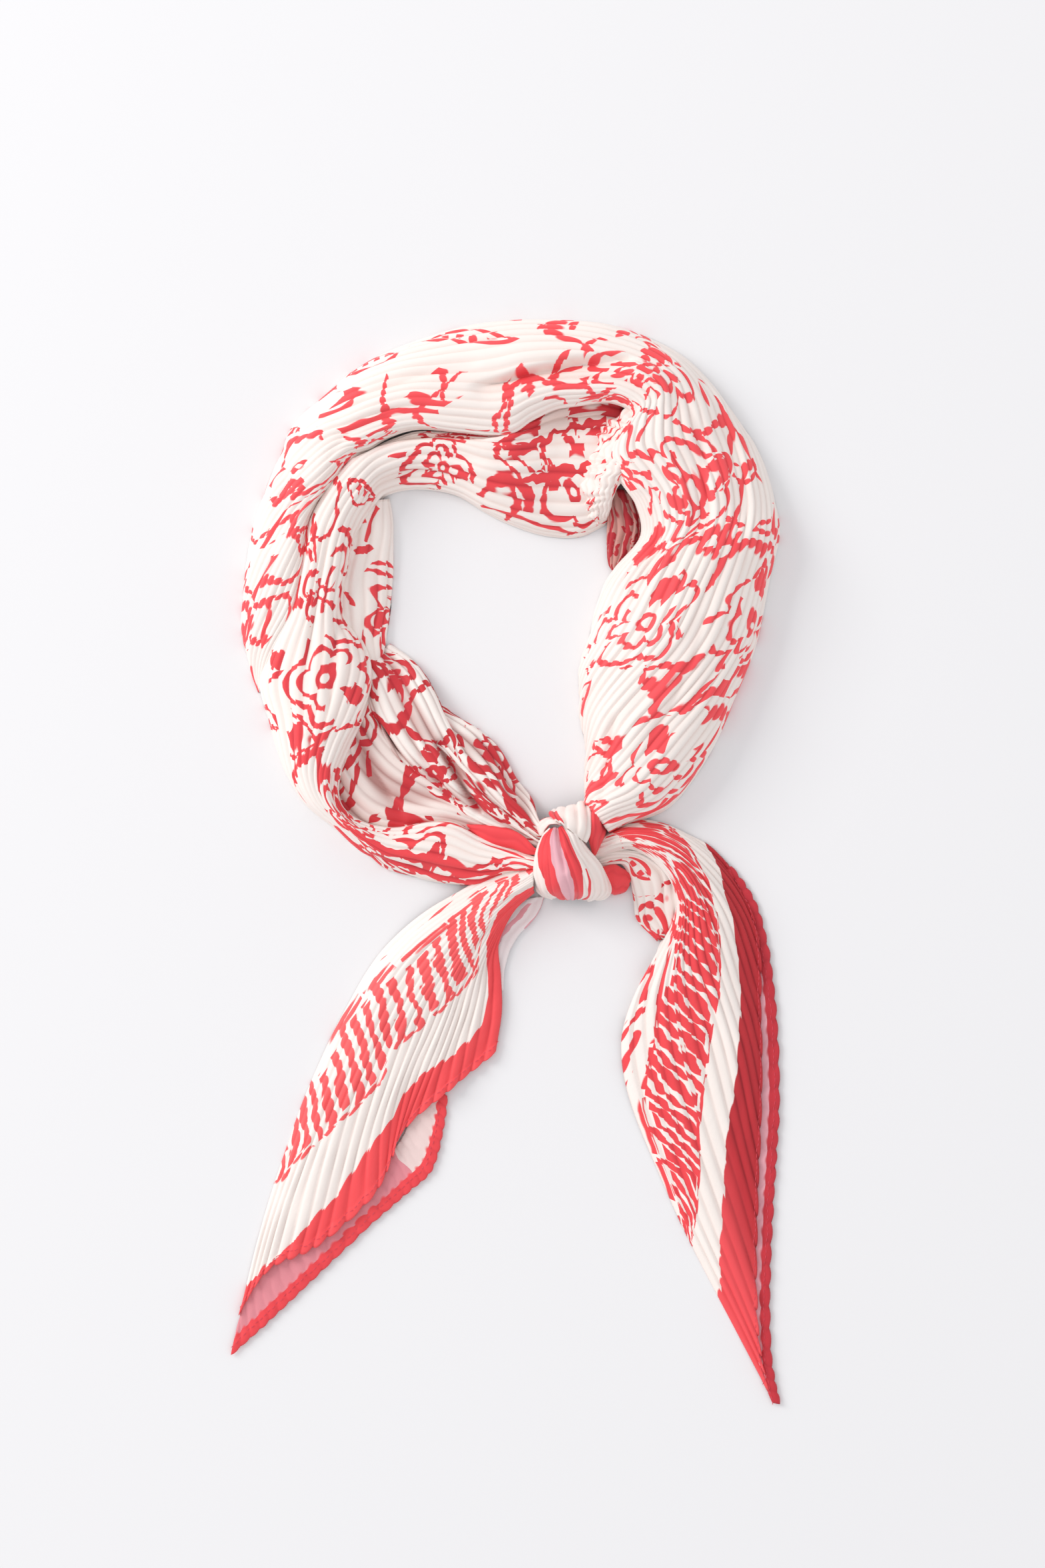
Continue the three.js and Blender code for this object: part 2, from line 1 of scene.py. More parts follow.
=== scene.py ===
import math
import random
import bpy
import numpy as np
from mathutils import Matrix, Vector


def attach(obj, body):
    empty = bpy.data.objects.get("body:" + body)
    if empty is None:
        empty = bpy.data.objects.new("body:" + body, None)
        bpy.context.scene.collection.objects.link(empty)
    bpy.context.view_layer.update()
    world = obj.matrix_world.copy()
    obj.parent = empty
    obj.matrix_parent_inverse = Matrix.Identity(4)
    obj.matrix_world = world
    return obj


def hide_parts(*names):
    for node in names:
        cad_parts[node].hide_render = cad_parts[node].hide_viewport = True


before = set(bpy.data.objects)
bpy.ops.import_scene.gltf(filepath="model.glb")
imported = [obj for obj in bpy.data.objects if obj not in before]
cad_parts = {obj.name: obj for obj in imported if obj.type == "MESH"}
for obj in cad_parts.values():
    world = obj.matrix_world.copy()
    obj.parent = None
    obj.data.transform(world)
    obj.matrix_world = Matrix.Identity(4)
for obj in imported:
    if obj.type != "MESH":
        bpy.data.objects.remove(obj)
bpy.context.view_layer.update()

# Sizes are in millimetres until a mesh is made, and in metres from there.
silk = {
    "roundness": 0.8,  # profile of a rolled stretch, lower is squarer
    "pleatCloth": 4.0,  # cloth that shows on one pleat
    "pleatPrint": 5.2,  # print from one pleat to the next, with what is folded out of sight
    "thickness": 0.35,
    "floorGap": 0.4,
    "hemWidth": 4.4,
    "hemLift": 0.4,
    "smallTurnUnder": 0.2,  # how far a small stretch turns under, as a share of its width
    "sag": 2.0,  # how far the turned edges of a roll hang down
    "smallSag": 0.6,
    "hemSag": 0.2,
}
colours = {
    "cream": (0.95, 0.87, 0.82),
    # painted shade: the cream's colour deep in the valleys
    "creamPaintedShade": (0.92, 0.70, 0.63),
    "red": (0.90, 0.068, 0.080),
    # painted shade: the red's colour deep in the valleys
    "redPaintedShade": (0.52, 0.022, 0.036),
    "pink": (0.90, 0.52, 0.57),
    "pinkShade": (0.72, 0.36, 0.42),
    "thread": (0.72, 0.075, 0.11),
    "floor": (0.872, 0.868, 0.878),
}
# What a piece has where its own dictionary says nothing else.
plainPiece = {
    "under": 0.36,  # how far it turns under, as a share of its width
    "columns": 6,  # on each pleat
    "rise": 1.2,  # height of a pleat
    "steep": 0.24,  # the most it may be, as a share of the pleat's width
    "bundle": 0.5,  # height of the pleats that lie together
    "undulate": 0.6,  # height of the soft waves
    "crinkle": 0,  # height of the small ones
    "wander": 0.12,  # how far a pleat strays to its sides, in pleats
    "wanderTurns": 17,
    "gathers": (0, 1),  # height and number of the ripples across the pleats, at edge a
    "pleatPaintedShade": 0.6,  # how strong the painted shade in the pleat valleys is
    # the next two are the strength of the painted shade in the creases and between bundled pleats
    "creasePaintedShade": 0.13,
    "bundlePaintedShade": 0.15,
    "creases": [],
    "printAt": (0, 0),
    "clothScale": 1,  # share of the pleats' cloth that isn't drawn tight
    "slot": "cream_cloth",
    "look": {},
}


def placeIn(count, share):
    # the row before each share of a list's length, and how far past it
    place = np.clip(share, 0, 1) * (count - 1)
    i = np.minimum(place.astype(int), count - 2)
    return i, place - i


def through(before, q, r, after, f):
    # a smooth curve from q to r, with a point before and a point after them
    slope = r - before + (2 * before - 5 * q + 4 * r - after) * f + (3 * q - before - 3 * r + after) * f * f
    return q + 0.5 * f * slope


def smooth(values, share):
    values = np.asarray(values, float)
    i, f = placeIn(len(values), np.asarray(share, float))
    last = len(values) - 1
    q, r = values[i], values[i + 1]
    before = np.where(i > 0, values[np.maximum(i - 1, 0)], 2 * q - r)
    after = np.where(i + 2 <= last, values[np.minimum(i + 2, last)], 2 * r - q)
    return through(before, q, r, after, f)


def rolledSurface(sections, sag=silk["sag"]):
    # across runs from edge a at 0 to edge b at 1, and turns under the stretch beyond both
    columns = dict(zip("ax ay az bx by bz rise".split(), zip(*sections)))

    def point(along, across):
        at = {name: smooth(column, along) for name, column in columns.items()}
        side = (1 - np.cos(math.pi * across)) / 2
        over = (across >= 0) & (across <= 1)
        crown = np.where(over, at["rise"], -sag) * np.abs(np.sin(math.pi * across)) ** silk["roundness"]
        x, y, z = (at["a" + axis] + (at["b" + axis] - at["a" + axis]) * side for axis in "xyz")
        return np.stack([x, y, z + crown], -1)
    return point


def hemmedSurface(sections):
    # the same sections, with the pleats across them: along runs from near edge b to near edge a, the hem
    stretch = rolledSurface(sections, silk["hemSag"])
    return lambda along, across: stretch(np.clip(across, 0, 1), 0.96 - 0.93 * along)


def drapedSurface(folds):
    # along follows each fold to the hem, across goes from fold to fold
    folds = np.array(folds, float)

    def point(along, across):
        follow = lambda fold: np.stack([smooth(fold[:, axis], along) for axis in range(3)], -1)
        lines = np.stack([follow(fold) for fold in folds])
        count = len(folds)
        i, f = placeIn(count, across)
        rows = np.arange(along.shape[0])[:, None]
        columns = np.arange(along.shape[1])[None, :]
        pick = lambda k: lines[np.clip(k, 0, count - 1), rows, columns]
        q, r = pick(i), pick(i + 1)
        before = np.where((i == 0)[..., None], 2 * q - r, pick(i - 1))
        after = np.where((i + 2 >= count)[..., None], 2 * r - q, pick(i + 2))
        return through(before, q, r, after, f[..., None])
    return point


def waves(x, y, seed, low=25, high=70, count=6):
    # soft uneven height, mostly between -1 and 1
    rng = random.Random(seed)
    total = 0
    for _ in range(count):
        angle, turn = rng.uniform(0, math.pi), rng.uniform(0, 2 * math.pi)
        size = rng.uniform(low, high)
        total = total + np.sin((x * math.cos(angle) + y * math.sin(angle)) * 2 * math.pi / size + turn)
    return total / count * 1.4


def pleatShape(f):
    # a pressed pleat: a steep side, then a long soft slope down to the next one
    steep = np.abs(np.sin(f * math.pi * 1.5))
    slope = np.abs(np.cos((f - 1 / 3) * math.pi * 0.75))
    return np.where(f < 1 / 3, steep, slope) ** 0.6


def lineDistance(x, y, line):
    # signed distance to a line (left of it is positive), length along it, and past its ends
    line = np.array(line, float)
    best = np.full(x.shape, 1e9)
    side, run, beyond = np.zeros(x.shape), np.zeros(x.shape), np.zeros(x.shape)
    passed = 0.0
    for i, (p, q) in enumerate(zip(line[:-1], line[1:])):
        d = q - p
        size = math.hypot(*d)
        share = ((x - p[0]) * d[0] + (y - p[1]) * d[1]) / size ** 2
        held = np.clip(share, 0, 1)
        gap = np.hypot(x - p[0] - held * d[0], y - p[1] - held * d[1])
        nearer = gap < best
        best = np.where(nearer, gap, best)
        cross = d[0] * (y - p[1]) - d[1] * (x - p[0])
        side = np.where(nearer, np.sign(cross), side)
        run = np.where(nearer, passed + held * size, run)
        over = np.where(share < 0, -share, np.where(share > 1, share - 1, 0)) * size
        ends = (i == 0) & (share < 0) | (i == len(line) - 2) & (share > 1)
        beyond = np.where(nearer, np.where(ends, over, 0), beyond)
        passed += size
    return best * np.where(side == 0, 1, side), run, passed, beyond


def creaseDepth(creases, x, y):
    # each crease is its depth, how far it slopes on its left and its right, and a line on the scarf
    total = np.zeros(x.shape)
    for depth, left, right, line in creases:
        gap, run, length, beyond = lineDistance(x, y, line)
        fade = np.sin(np.clip(run / length, 0, 1) * math.pi) ** 0.5
        slope = np.where(gap > 0, left, right)
        total -= depth * fade * np.exp(-np.abs(gap / slope) ** 1.5) * np.exp(-(beyond / 3) ** 2)
    return total


def hemZones(x, y, lines):
    # 0 at the hem, 1 where the border ends, 2 and 3 at the band of strokes, and the place along the band
    gaps = [lineDistance(x, y, line[::-1] if line[0][1] > line[-1][1] else line)[0] for line in lines]
    size = np.abs(gaps)
    share = lambda i: i + size[i] / np.maximum(size[i] + size[i + 1], 1e-6)
    zone = np.where(gaps[3] < 0, share(2), 3 + size[3] / 30)
    zone = np.where(gaps[1] < 0, share(0), np.where(gaps[2] < 0, share(1), zone))
    first, last = np.array(lines[2][0], float), np.array(lines[2][-1], float)
    course = (last - first) / math.hypot(*(last - first))
    return zone, (x - first[0]) * course[0] + (y - first[1]) * course[1]


def unit(v):
    return v / np.maximum(np.linalg.norm(v, axis=-1, keepdims=True), 1e-9)


def outwards(surface, along, across, under):
    # the way out of the cloth's upper side, and whether its faces are turned round for that
    stepAlong, stepAcross = 2e-3, 0.03
    left, right = across - stepAcross, across + stepAcross
    if under == 0:
        left, right = np.clip(left, 0, 1), np.clip(right, 0, 1)
    ahead, behind = np.clip(along + stepAlong, 0, 1), np.clip(along - stepAlong, 0, 1)
    forward = surface(ahead, across) - surface(behind, across)
    out = unit(np.cross(unit(forward), unit(surface(along, right) - surface(along, left))))
    turned = (out[..., 2] * (np.abs(across - 0.5) < 0.3)).sum() < 0
    return (-out if turned else out), turned


def pleatPitch(base, perPleat):
    # the width of a pleat at each place, evened out over one pleat
    pitch = np.linalg.norm(np.diff(base, axis=1), axis=-1)
    pitch = np.concatenate([pitch, pitch[:, -1:]], axis=1) * perPleat
    half, kernel = perPleat // 2, np.ones(perPleat) / perPleat
    even = lambda row: np.convolve(np.pad(row, half, mode="edge"), kernel, "same")[half:-half]
    return np.apply_along_axis(even, 1, pitch)


def clothRelief(piece, base, along, across, ridge, edge, perPleat):
    # how far the cloth stands out from its surface, and how much painted shade each place gets in pleat
    # valleys and creases
    seed = piece["seed"]
    x, y = base[..., 0], base[..., 1]
    rise = np.minimum(piece["rise"], piece["steep"] * pleatPitch(base, perPleat))
    strength = 0.78 + 0.22 * np.sin(np.floor(ridge) * 2.4 + along * 9 + seed)
    strength += 0.25 * waves(x, y, seed + 50, 15, 45)
    shape = pleatShape(ridge - np.floor(ridge))
    bundle = piece["bundle"] * np.sin(ridge * 2 * math.pi / 4.3 + 2 * np.sin(along * 7 + seed))
    soft = piece["undulate"] * waves(x, y, seed)
    crinkle = piece["crinkle"] * waves(x, y, seed + 9, 3.5, 9, 8)
    gathered, count = piece["gathers"]  # ripples across the pleats, at edge a
    ripple = np.sin((along * count + 0.4 * np.sin(across * 5 + along * 23)) * 2 * math.pi)
    crinkle = crinkle + gathered * ripple * np.clip(0.8 - across, 0, 0.6)
    fold = creaseDepth(piece["creases"], x, y)
    lift = (rise * shape * np.clip(strength, 0.25, 1.4) + bundle + soft + crinkle) * edge + fold
    if "zones" in piece:  # the turned hem is a little thicker
        toHem = np.linalg.norm(np.diff(base, axis=0, append=base[-1:]), axis=-1)[::-1].cumsum(axis=0)[::-1]
        lift += silk["hemLift"] * np.clip((silk["hemWidth"] + 0.6 - toHem) / 0.8, 0, 1)
    # painted shade: darker in the pleat valleys, in the creases and between bundled pleats
    paintedShade = (1 - shape) * piece["pleatPaintedShade"] * np.minimum(rise, 1) - fold * piece["creasePaintedShade"]
    return lift, np.clip(paintedShade - bundle * piece["bundlePaintedShade"], 0, 1)


def clothMesh(name, surface, piece):
    # columns follow the pleats; how many show, and which is in the middle, change along the stretch
    perPleat = piece["columns"]
    under = piece["under"]
    shares = np.linspace(0, 1, piece["rows"] + 1)
    pleats = piece["pleats"]
    shown = smooth(pleats, shares) if isinstance(pleats, list) else np.full(len(shares), pleats)
    middle = smooth(piece["middle"], shares) if "middle" in piece else shown / 2
    first = math.floor((middle - shown * (0.5 + under)).min())
    last = math.ceil((middle + shown * (0.5 + under)).max())
    phase = first + np.arange((last - first) * perPleat + 1) / perPleat
    along, ridge = np.meshgrid(shares, phase, indexing="ij")
    shown, middle = shown[:, None], middle[:, None]
    wander = piece["wander"] * np.sin(along * piece["wanderTurns"] + ridge * 0.9 + piece["seed"])
    across = 0.5 + (ridge + wander - middle) / shown
    if under == 0:  # a tail's pleats are straight along its two edges
        across = 0.5 + (ridge + wander * np.sin(np.clip(across, 0, 1) * math.pi) - middle) / shown
    trimmed = (across < -under) | (across > 1 + under)
    across = np.clip(across, -under, 1 + under)
    if "scallop" in piece:  # the hem stands out a little at each ridge
        between = 1 - np.sin(math.pi * (ridge - np.floor(ridge)))
        along = along * (1 - piece["scallop"] * between * (along > 0.5) * (2 * along - 1))
    base = surface(along, across)
    out, turned = outwards(surface, along, across, under)
    edge = np.clip(np.minimum(across + under, 1 + under - across) * 6, 0, 1) if under > 0 else 1
    lift, paintedShade = clothRelief(piece, base, along, across, ridge, edge, perPleat)
    points = base + out * lift[..., None]
    points[..., 2] = np.maximum(points[..., 2], silk["floorGap"])
    return gridObject(name, piece, points, along, across, phase, trimmed, paintedShade, turned)


def gridObject(name, piece, points, along, across, phase, trimmed, paintedShade, turned):
    rows, columns = points.shape[0] - 1, points.shape[1] - 1
    index = np.arange(points.shape[0] * points.shape[1]).reshape(points.shape[:2])
    corners = [(0, 0), (1, 0), (1, 1), (0, 1)]
    if turned:
        corners = corners[::-1]
    at = lambda values, down, right: values[down:down + rows, right:right + columns]
    kept = ~np.logical_and.reduce([at(trimmed, down, right) for down, right in corners])
    quads = np.stack([at(index, down, right) for down, right in corners], -1)[kept]
    used = np.unique(quads)
    renumber = np.zeros(index.size, int)
    renumber[used] = np.arange(len(used))
    mesh = bpy.data.meshes.new(name)
    mesh.from_pydata((points.reshape(-1, 3)[used] / 1000).tolist(), [], renumber[quads].tolist())
    if piece["under"] == 0:
        steps = np.linalg.norm(np.diff(points[:, columns // 2], axis=0), axis=-1)
    else:  # the middle line of the stretch itself, whatever its columns do
        middle = points[np.arange(rows + 1), np.abs(across - 0.5).argmin(axis=1)]
        steps = np.linalg.norm(np.diff(middle[:, :2], axis=0), axis=-1)
    run = np.concatenate([[0], np.cumsum(steps)])[:, None] * np.ones(columns + 1)
    pleat = np.floor((phase[:-1] + phase[1:]) / 2)[None, :]
    shift = piece["printAt"]
    zone, bandRun = np.full(run.shape, 9.0), run
    if "zones" in piece:
        zone, bandRun = hemZones(points[..., 0], points[..., 1], piece["zones"])
    maps = {"clothMap": [], "borderMap": [], "placeMap": []}
    for down, right in corners:
        local = phase[right:right + columns][None, :] - pleat
        flat = (pleat * silk["pleatPrint"] + local * silk["pleatCloth"]) * np.ones((rows, 1))
        maps["clothMap"].append(np.stack([at(run, down, right) + shift[0], flat + shift[1]], -1)[kept])
        maps["borderMap"].append(np.stack([at(zone, down, right) * 10, at(bandRun, down, right)], -1)[kept])
        maps["placeMap"].append(np.stack([at(across, down, right), at(along, down, right)], -1)[kept] * 100)
    for layerName, values in maps.items():
        layer = mesh.uv_layers.new(name=layerName)
        layer.data.foreach_set("uv", (np.stack(values, 1).reshape(-1) / 100).astype(np.float32))
    # the painted shade goes on the mesh for the material
    attribute = mesh.attributes.new("paintedShade", "FLOAT", "POINT")
    attribute.data.foreach_set("value", paintedShade.reshape(-1)[used].astype(np.float32))
    mesh.polygons.foreach_set("use_smooth", np.ones(len(mesh.polygons), bool))
    mesh.update()
    mesh.validate()
    area = sum(polygon.area for polygon in mesh.polygons)
    cloth = newObject(name, mesh)
    wall = cloth.modifiers.new("wall", "SOLIDIFY")
    wall.thickness = silk["thickness"] / 1000
    wall.offset = -1
    applyModifiers(cloth)
    return cloth, area, points[:, (across[-1] > 0) & (across[-1] < 1)]


def newObject(name, data):
    thing = bpy.data.objects.new(name, data)
    bpy.context.scene.collection.objects.link(thing)
    return thing


def applyModifiers(piece):
    bpy.context.view_layer.update()
    depsgraph = bpy.context.evaluated_depsgraph_get()
    finished = bpy.data.meshes.new_from_object(piece.evaluated_get(depsgraph), depsgraph=depsgraph)
    finished.name = piece.name
    piece.modifiers.clear()
    piece.data = finished


class Value:
    # a node's output, with sums written as on numbers: each one adds a Math node
    def __init__(self, tree, socket):
        self.tree = tree
        self.socket = socket

    def math(self, operation, *others, clamp=False):
        return mathNode(self.tree, operation, self, *others, clamp=clamp)

    def __add__(self, other):
        return self.math("ADD", other)

    def __sub__(self, other):
        return self.math("SUBTRACT", other)

    def __rsub__(self, other):
        return mathNode(self.tree, "SUBTRACT", other, self)

    def __mul__(self, other):
        return self.math("MULTIPLY", other)

    def __truediv__(self, other):
        return self.math("DIVIDE", other)

    def __rtruediv__(self, other):
        return mathNode(self.tree, "DIVIDE", other, self)

    def __gt__(self, other):
        return self.math("GREATER_THAN", other)

    def __lt__(self, other):
        return self.math("LESS_THAN", other)

    def __abs__(self):
        return self.math("ABSOLUTE")

    def nearest(self, other):
        return self.math("MINIMUM", other)

    def farthest(self, other):
        return self.math("MAXIMUM", other)

    def where(self, mask):
        # keeps a distance where the mask is 1, and adds 50 mm to it elsewhere
        return self + (1 - mask) * 50.0


def plug(tree, value, socket):
    if isinstance(value, Value):
        tree.links.new(value.socket, socket)
    else:
        socket.default_value = value


def mathNode(tree, operation, *inputs, clamp=False):
    node = tree.nodes.new("ShaderNodeMath")
    node.operation = operation
    node.use_clamp = clamp
    for socket, value in zip(node.inputs, inputs):
        plug(tree, value, socket)
    return Value(tree, node.outputs[0])


class NodeMaker:
    # short calls for the nodes of one tree
    def __init__(self, tree):
        self.tree = tree

    def add(self, kind, inputs=None, **settings):
        node = self.tree.nodes.new(kind)
        for key, value in settings.items():
            setattr(node, key, value)
        for key, value in (inputs or {}).items():
            plug(self.tree, value, node.inputs[key])
        return node

    def make(self, kind, output=0, inputs=None, **settings):
        return Value(self.tree, self.add(kind, inputs, **settings).outputs[output])

    def vector(self, operation, a, b):
        second = "Scale" if operation == "SCALE" else 1
        return self.make("ShaderNodeVectorMath", 0, {0: a, second: b}, operation=operation)

    def mix(self, factor, a, b):
        a, b = ((*colour, 1) if isinstance(colour, tuple) else colour for colour in (a, b))
        return self.make("ShaderNodeMix", 2, {0: factor, 6: a, 7: b}, data_type="RGBA")

    def split(self, vector):
        node = self.add("ShaderNodeSeparateXYZ", {0: vector})
        return [Value(self.tree, socket) for socket in node.outputs]

    def combine(self, x, y, z=0.0):
        return self.make("ShaderNodeCombineXYZ", 0, {0: x, 1: y, 2: z})

    def noise(self, vector, scale, detail=1.0, output="Fac"):
        settings = {"Vector": vector, "Scale": scale, "Detail": detail}
        return self.make("ShaderNodeTexNoise", output, settings, noise_dimensions="2D")

    def chance(self, value):
        return self.make("ShaderNodeTexWhiteNoise", "Value", {"W": value}, noise_dimensions="1D")

    def place(self, group, inputs):
        node = self.add("ShaderNodeGroup", inputs, node_tree=group)
        return {socket.name: Value(self.tree, socket) for socket in node.outputs}

    def give(self, results):
        self.add("NodeGroupOutput", results)
        return self.tree


def newGroup(name, inputs, outputs):
    # an input with no number is a vector, and so is an output named Cloth
    group = bpy.data.node_groups.new(name, "ShaderNodeTree")
    for label, value in inputs.items():
        kind = "NodeSocketVector" if value is None else "NodeSocketFloat"
        socket = group.interface.new_socket(label, in_out="INPUT", socket_type=kind)
        if value is not None:
            socket.default_value = value
    for label in outputs:
        kind = "NodeSocketVector" if label == "Cloth" else "NodeSocketFloat"
        group.interface.new_socket(label, in_out="OUTPUT", socket_type=kind)
    given = group.nodes.new("NodeGroupInput")
    return NodeMaker(group), [Value(group, given.outputs[label]) for label in inputs]


def pleatGroupOf():
    # the print slips a little from pleat to pleat, and swells in the middle of each one
    n, (cloth, slip, swell) = newGroup("pleatSlip", {"Cloth": None, "Slip": 2.2, "Swell": 0.9},
                                       ("Cloth", "Swell", "Chance"))
    x, y, _ = n.split(cloth)
    number = ((y + 0.01) / silk["pleatPrint"]).math("FLOOR")
    across = (y - number * silk["pleatPrint"]) / silk["pleatCloth"]
    chance = n.chance(number)
    arch = (across.nearest(1.0) * math.pi).math("SINE")
    return n.give({
        "Cloth": n.combine(x + (chance - 0.5) * slip, y), "Swell": (arch - 0.55) * swell, "Chance": chance,
    })


# The generic print. The cell, the line and the bend are in millimetres, and the parts of a flower or
# a leaf are shares of the cell.
flowerPrint = {
    "cell": 56.0,
    "line": 1.4,
    "bend": 16.0,  # how far the motifs are pulled out of shape
    "flower": 0.26,
    "petal": 0.14,  # how far a petal stands out
    "innerRing": 0.6,  # share of the flower's outline
    "leaf": 0.22,
    "leafBend": 0.32,  # how slowly a leaf narrows to its ends
    "leavesFrom": 0.7,  # chance above which a cell holds a leaf
    "budsPerCell": 1.9,
    "budsFrom": 0.42,  # chance above which a place holds a bud
    "looseLines": ((0.016, 0.5), (0.020, 0.46), (0.018, 0.55)),  # scale and level of each
}


def flowerGroupOf():
    # loose flowers, leaves, buds and wandering lines; puts out the distance to the nearest ink
    sizes = flowerPrint
    inputs = {"Cloth": None, "Cell": sizes["cell"], "Line": sizes["line"]}
    n, (flat, cell, line) = newGroup("flowerPrint", inputs, ("Gap",))
    bend = n.vector("SUBTRACT", n.noise(flat, 0.035, 0.0, "Color"), (0.5, 0.5, 0.5))
    bent = n.vector("ADD", flat, n.vector("SCALE", bend, sizes["bend"]))
    thick = line * (n.noise(flat, 0.10) * 1.2 + 0.5)
    breaks = n.noise(flat, 0.05, 0.0) > 0.33
    stroke = lambda value, width: abs(value) - width

    def cells(scale, scatter, shift):
        # the place within a cell in millimetres, and three chances for it
        scaled = n.vector("DIVIDE", bent, n.combine(cell, cell, 1.0))
        scaled = n.vector("ADD", scaled, (shift, shift * 0.7, 0.0))
        settings = {"Vector": scaled, "Scale": scale, "Randomness": scatter}
        voronoi = n.add("ShaderNodeTexVoronoi", settings, voronoi_dimensions="2D", feature="F1")
        position, colour = (Value(n.tree, voronoi.outputs[label]) for label in ("Position", "Color"))
        offset = n.split(n.vector("SUBTRACT", scaled, position))
        return offset[0] * cell, offset[1] * cell, n.split(colour)

    def turned(x, y, spin):
        cosine, sine = spin.math("COSINE"), spin.math("SINE")
        return x * cosine + y * sine, y * cosine - x * sine

    x, y, chance = cells(1.0, 0.6, 0.0)
    radius = (x * x + y * y).math("SQRT")
    angle = y.math("ARCTAN2", x) + chance[0] * 6.28
    petals = (chance[1] * 2.99).math("FLOOR") + 4.0
    lobe = abs((angle * petals * 0.5).math("SINE"))
    outline = (lobe * sizes["petal"] + sizes["flower"]) * cell
    facing = angle.math("SINE")
    flower = stroke(radius - outline, thick).where(breaks)
    # one or two petals are filled, and the heart is a ring
    petal = (radius - outline * 0.9).farthest(outline * 0.5 - radius)
    flower = flower.nearest(petal.where(facing > 0.93))
    inner = stroke(radius - outline * sizes["innerRing"], thick * 0.8)
    flower = flower.nearest(inner.where((chance[1] > 0.35) * (facing < 0.5)))
    flower = flower.nearest(stroke(radius - cell * (chance[2] * 0.06 + 0.05), thick))
    ticks = (0.1 - (angle * 7.0).math("SINE")) * (radius * 0.14)
    ring = abs(radius - outline * 0.5) - outline * 0.2
    flower = flower.nearest(ticks.farthest(ring).where(chance[0] > 0.4))
    outside = radius > outline + 4.0
    # leaves: an outline with half of it barred, in place of some flowers
    px, py = turned(x, y, chance[0] * 6.28)
    almond = abs(py * 1.7) + px * px / (cell * sizes["leafBend"])
    leafSize = cell * sizes["leaf"]
    leaf = stroke(almond - leafSize, thick * 1.3).where(breaks)
    bars = (0.15 - px.math("SINE")) * 1.6
    leaf = leaf.nearest(bars.farthest(almond - leafSize * 0.75).farthest(py * -1.0))
    isLeaf = chance[2] > sizes["leavesFrom"]
    gap = flower.where(1 - isLeaf).nearest(leaf.where(isLeaf))
    # small buds between them
    x, y, chance = cells(sizes["budsPerCell"], 0.95, 3.3)
    px, py = turned(x, y, chance[0] * 6.28)
    bud = abs(py * 1.6) + px * px * 0.07 - (chance[2] * 3.0 + 1.4)
    gap = gap.nearest(bud.where((chance[1] > sizes["budsFrom"]) * outside))
    for scale, level in sizes["looseLines"]:
        drift = n.noise(n.vector("ADD", flat, (level * 900, level * 300, 0.0)), scale)
        gap = gap.nearest(stroke((drift - level) / (scale * 0.55), thick).where(outside * breaks))
    return n.give({"Gap": gap})


def borderGroupOf():
    # the red border along the hem, a plain gap, and a band of slanting strokes between two lines
    n, (border, slip, pitch, slant, thick) = newGroup(
        "hemBorder", {"Border": None, "Slip": 0.0, "Pitch": 7.5, "Slant": 14.0, "Width": 0.5},
        ("Gap", "Field", "Edge"))
    zone, run, _ = n.split(border)
    zone = slip * 0.10 + zone * 10.0
    run = run * 100.0
    spread = n.combine(zone * 12.0, run)
    uneven, ragged = n.noise(spread, 0.08), n.noise(spread, 0.2)
    share = zone - 2.0
    place = (run + (share * slant + uneven * 8.0) + slip * 1.4) / pitch
    chance = n.chance(place.math("FLOOR"))
    starts, ends = chance * 0.16 - 0.06, (chance * 7.3).math("FRACT") * -0.22 + 1.07
    width = uneven * 0.24 - 0.12 + thick * 0.5 + (chance * 0.16 + (ragged * 0.44 - 0.30))
    strokes = ((abs(place.math("FRACT") - 0.5) - width) * pitch).where((share > starts) * (share < ends))
    sides = abs(uneven * -0.08 + (share + 0.06)).nearest(abs(uneven * 0.08 + (share - 1.07)))
    lines = (sides * 24.0 - 0.8).where(uneven > 0.4)
    return n.give({
        "Gap": ((zone - 1.0) * 20.0).nearest(strokes.nearest(lines)),
        "Field": zone > 3.25,
        "Edge": zone < 1.08,
    })


def weaveGroupOf():
    # fine threads along and across the pleats, with soft crinkles
    n, (cloth, thread) = newGroup("satinWeave", {"Cloth": None, "Thread": 0.42}, ("Height", "Roughness"))
    x, y, _ = n.split(cloth)
    turn = 6.283 / thread
    threads = (x * turn).math("SINE") * (y * turn).math("SINE")
    crinkle = n.noise(cloth, 0.5, 3.0)
    return n.give({"Height": threads * 0.22 + crinkle, "Roughness": crinkle * 0.2 + 0.38})


slipGroup, flowerGroup = pleatGroupOf(), flowerGroupOf()
borderGroup, weaveGroup = borderGroupOf(), weaveGroupOf()
plainLook = {
    "slip": 1.0, "slant": 14.0, "pitch": 7.5, "strokes": 0.5,  # the band of strokes beside a border
    "ragged": 0.06,  # how far the sides of a stripe stray
    "depth": 0.6,  # strength of the painted shade in the valleys
    "cell": flowerPrint["cell"], "line": flowerPrint["line"],
    "base": colours["cream"], "paintedShadeColour": colours["creamPaintedShade"],
    "red": colours["red"], "redPaintedShade": colours["redPaintedShade"],
}


def principledOf(material):
    material.use_nodes = True
    return next(node for node in material.node_tree.nodes if node.type == "BSDF_PRINCIPLED")


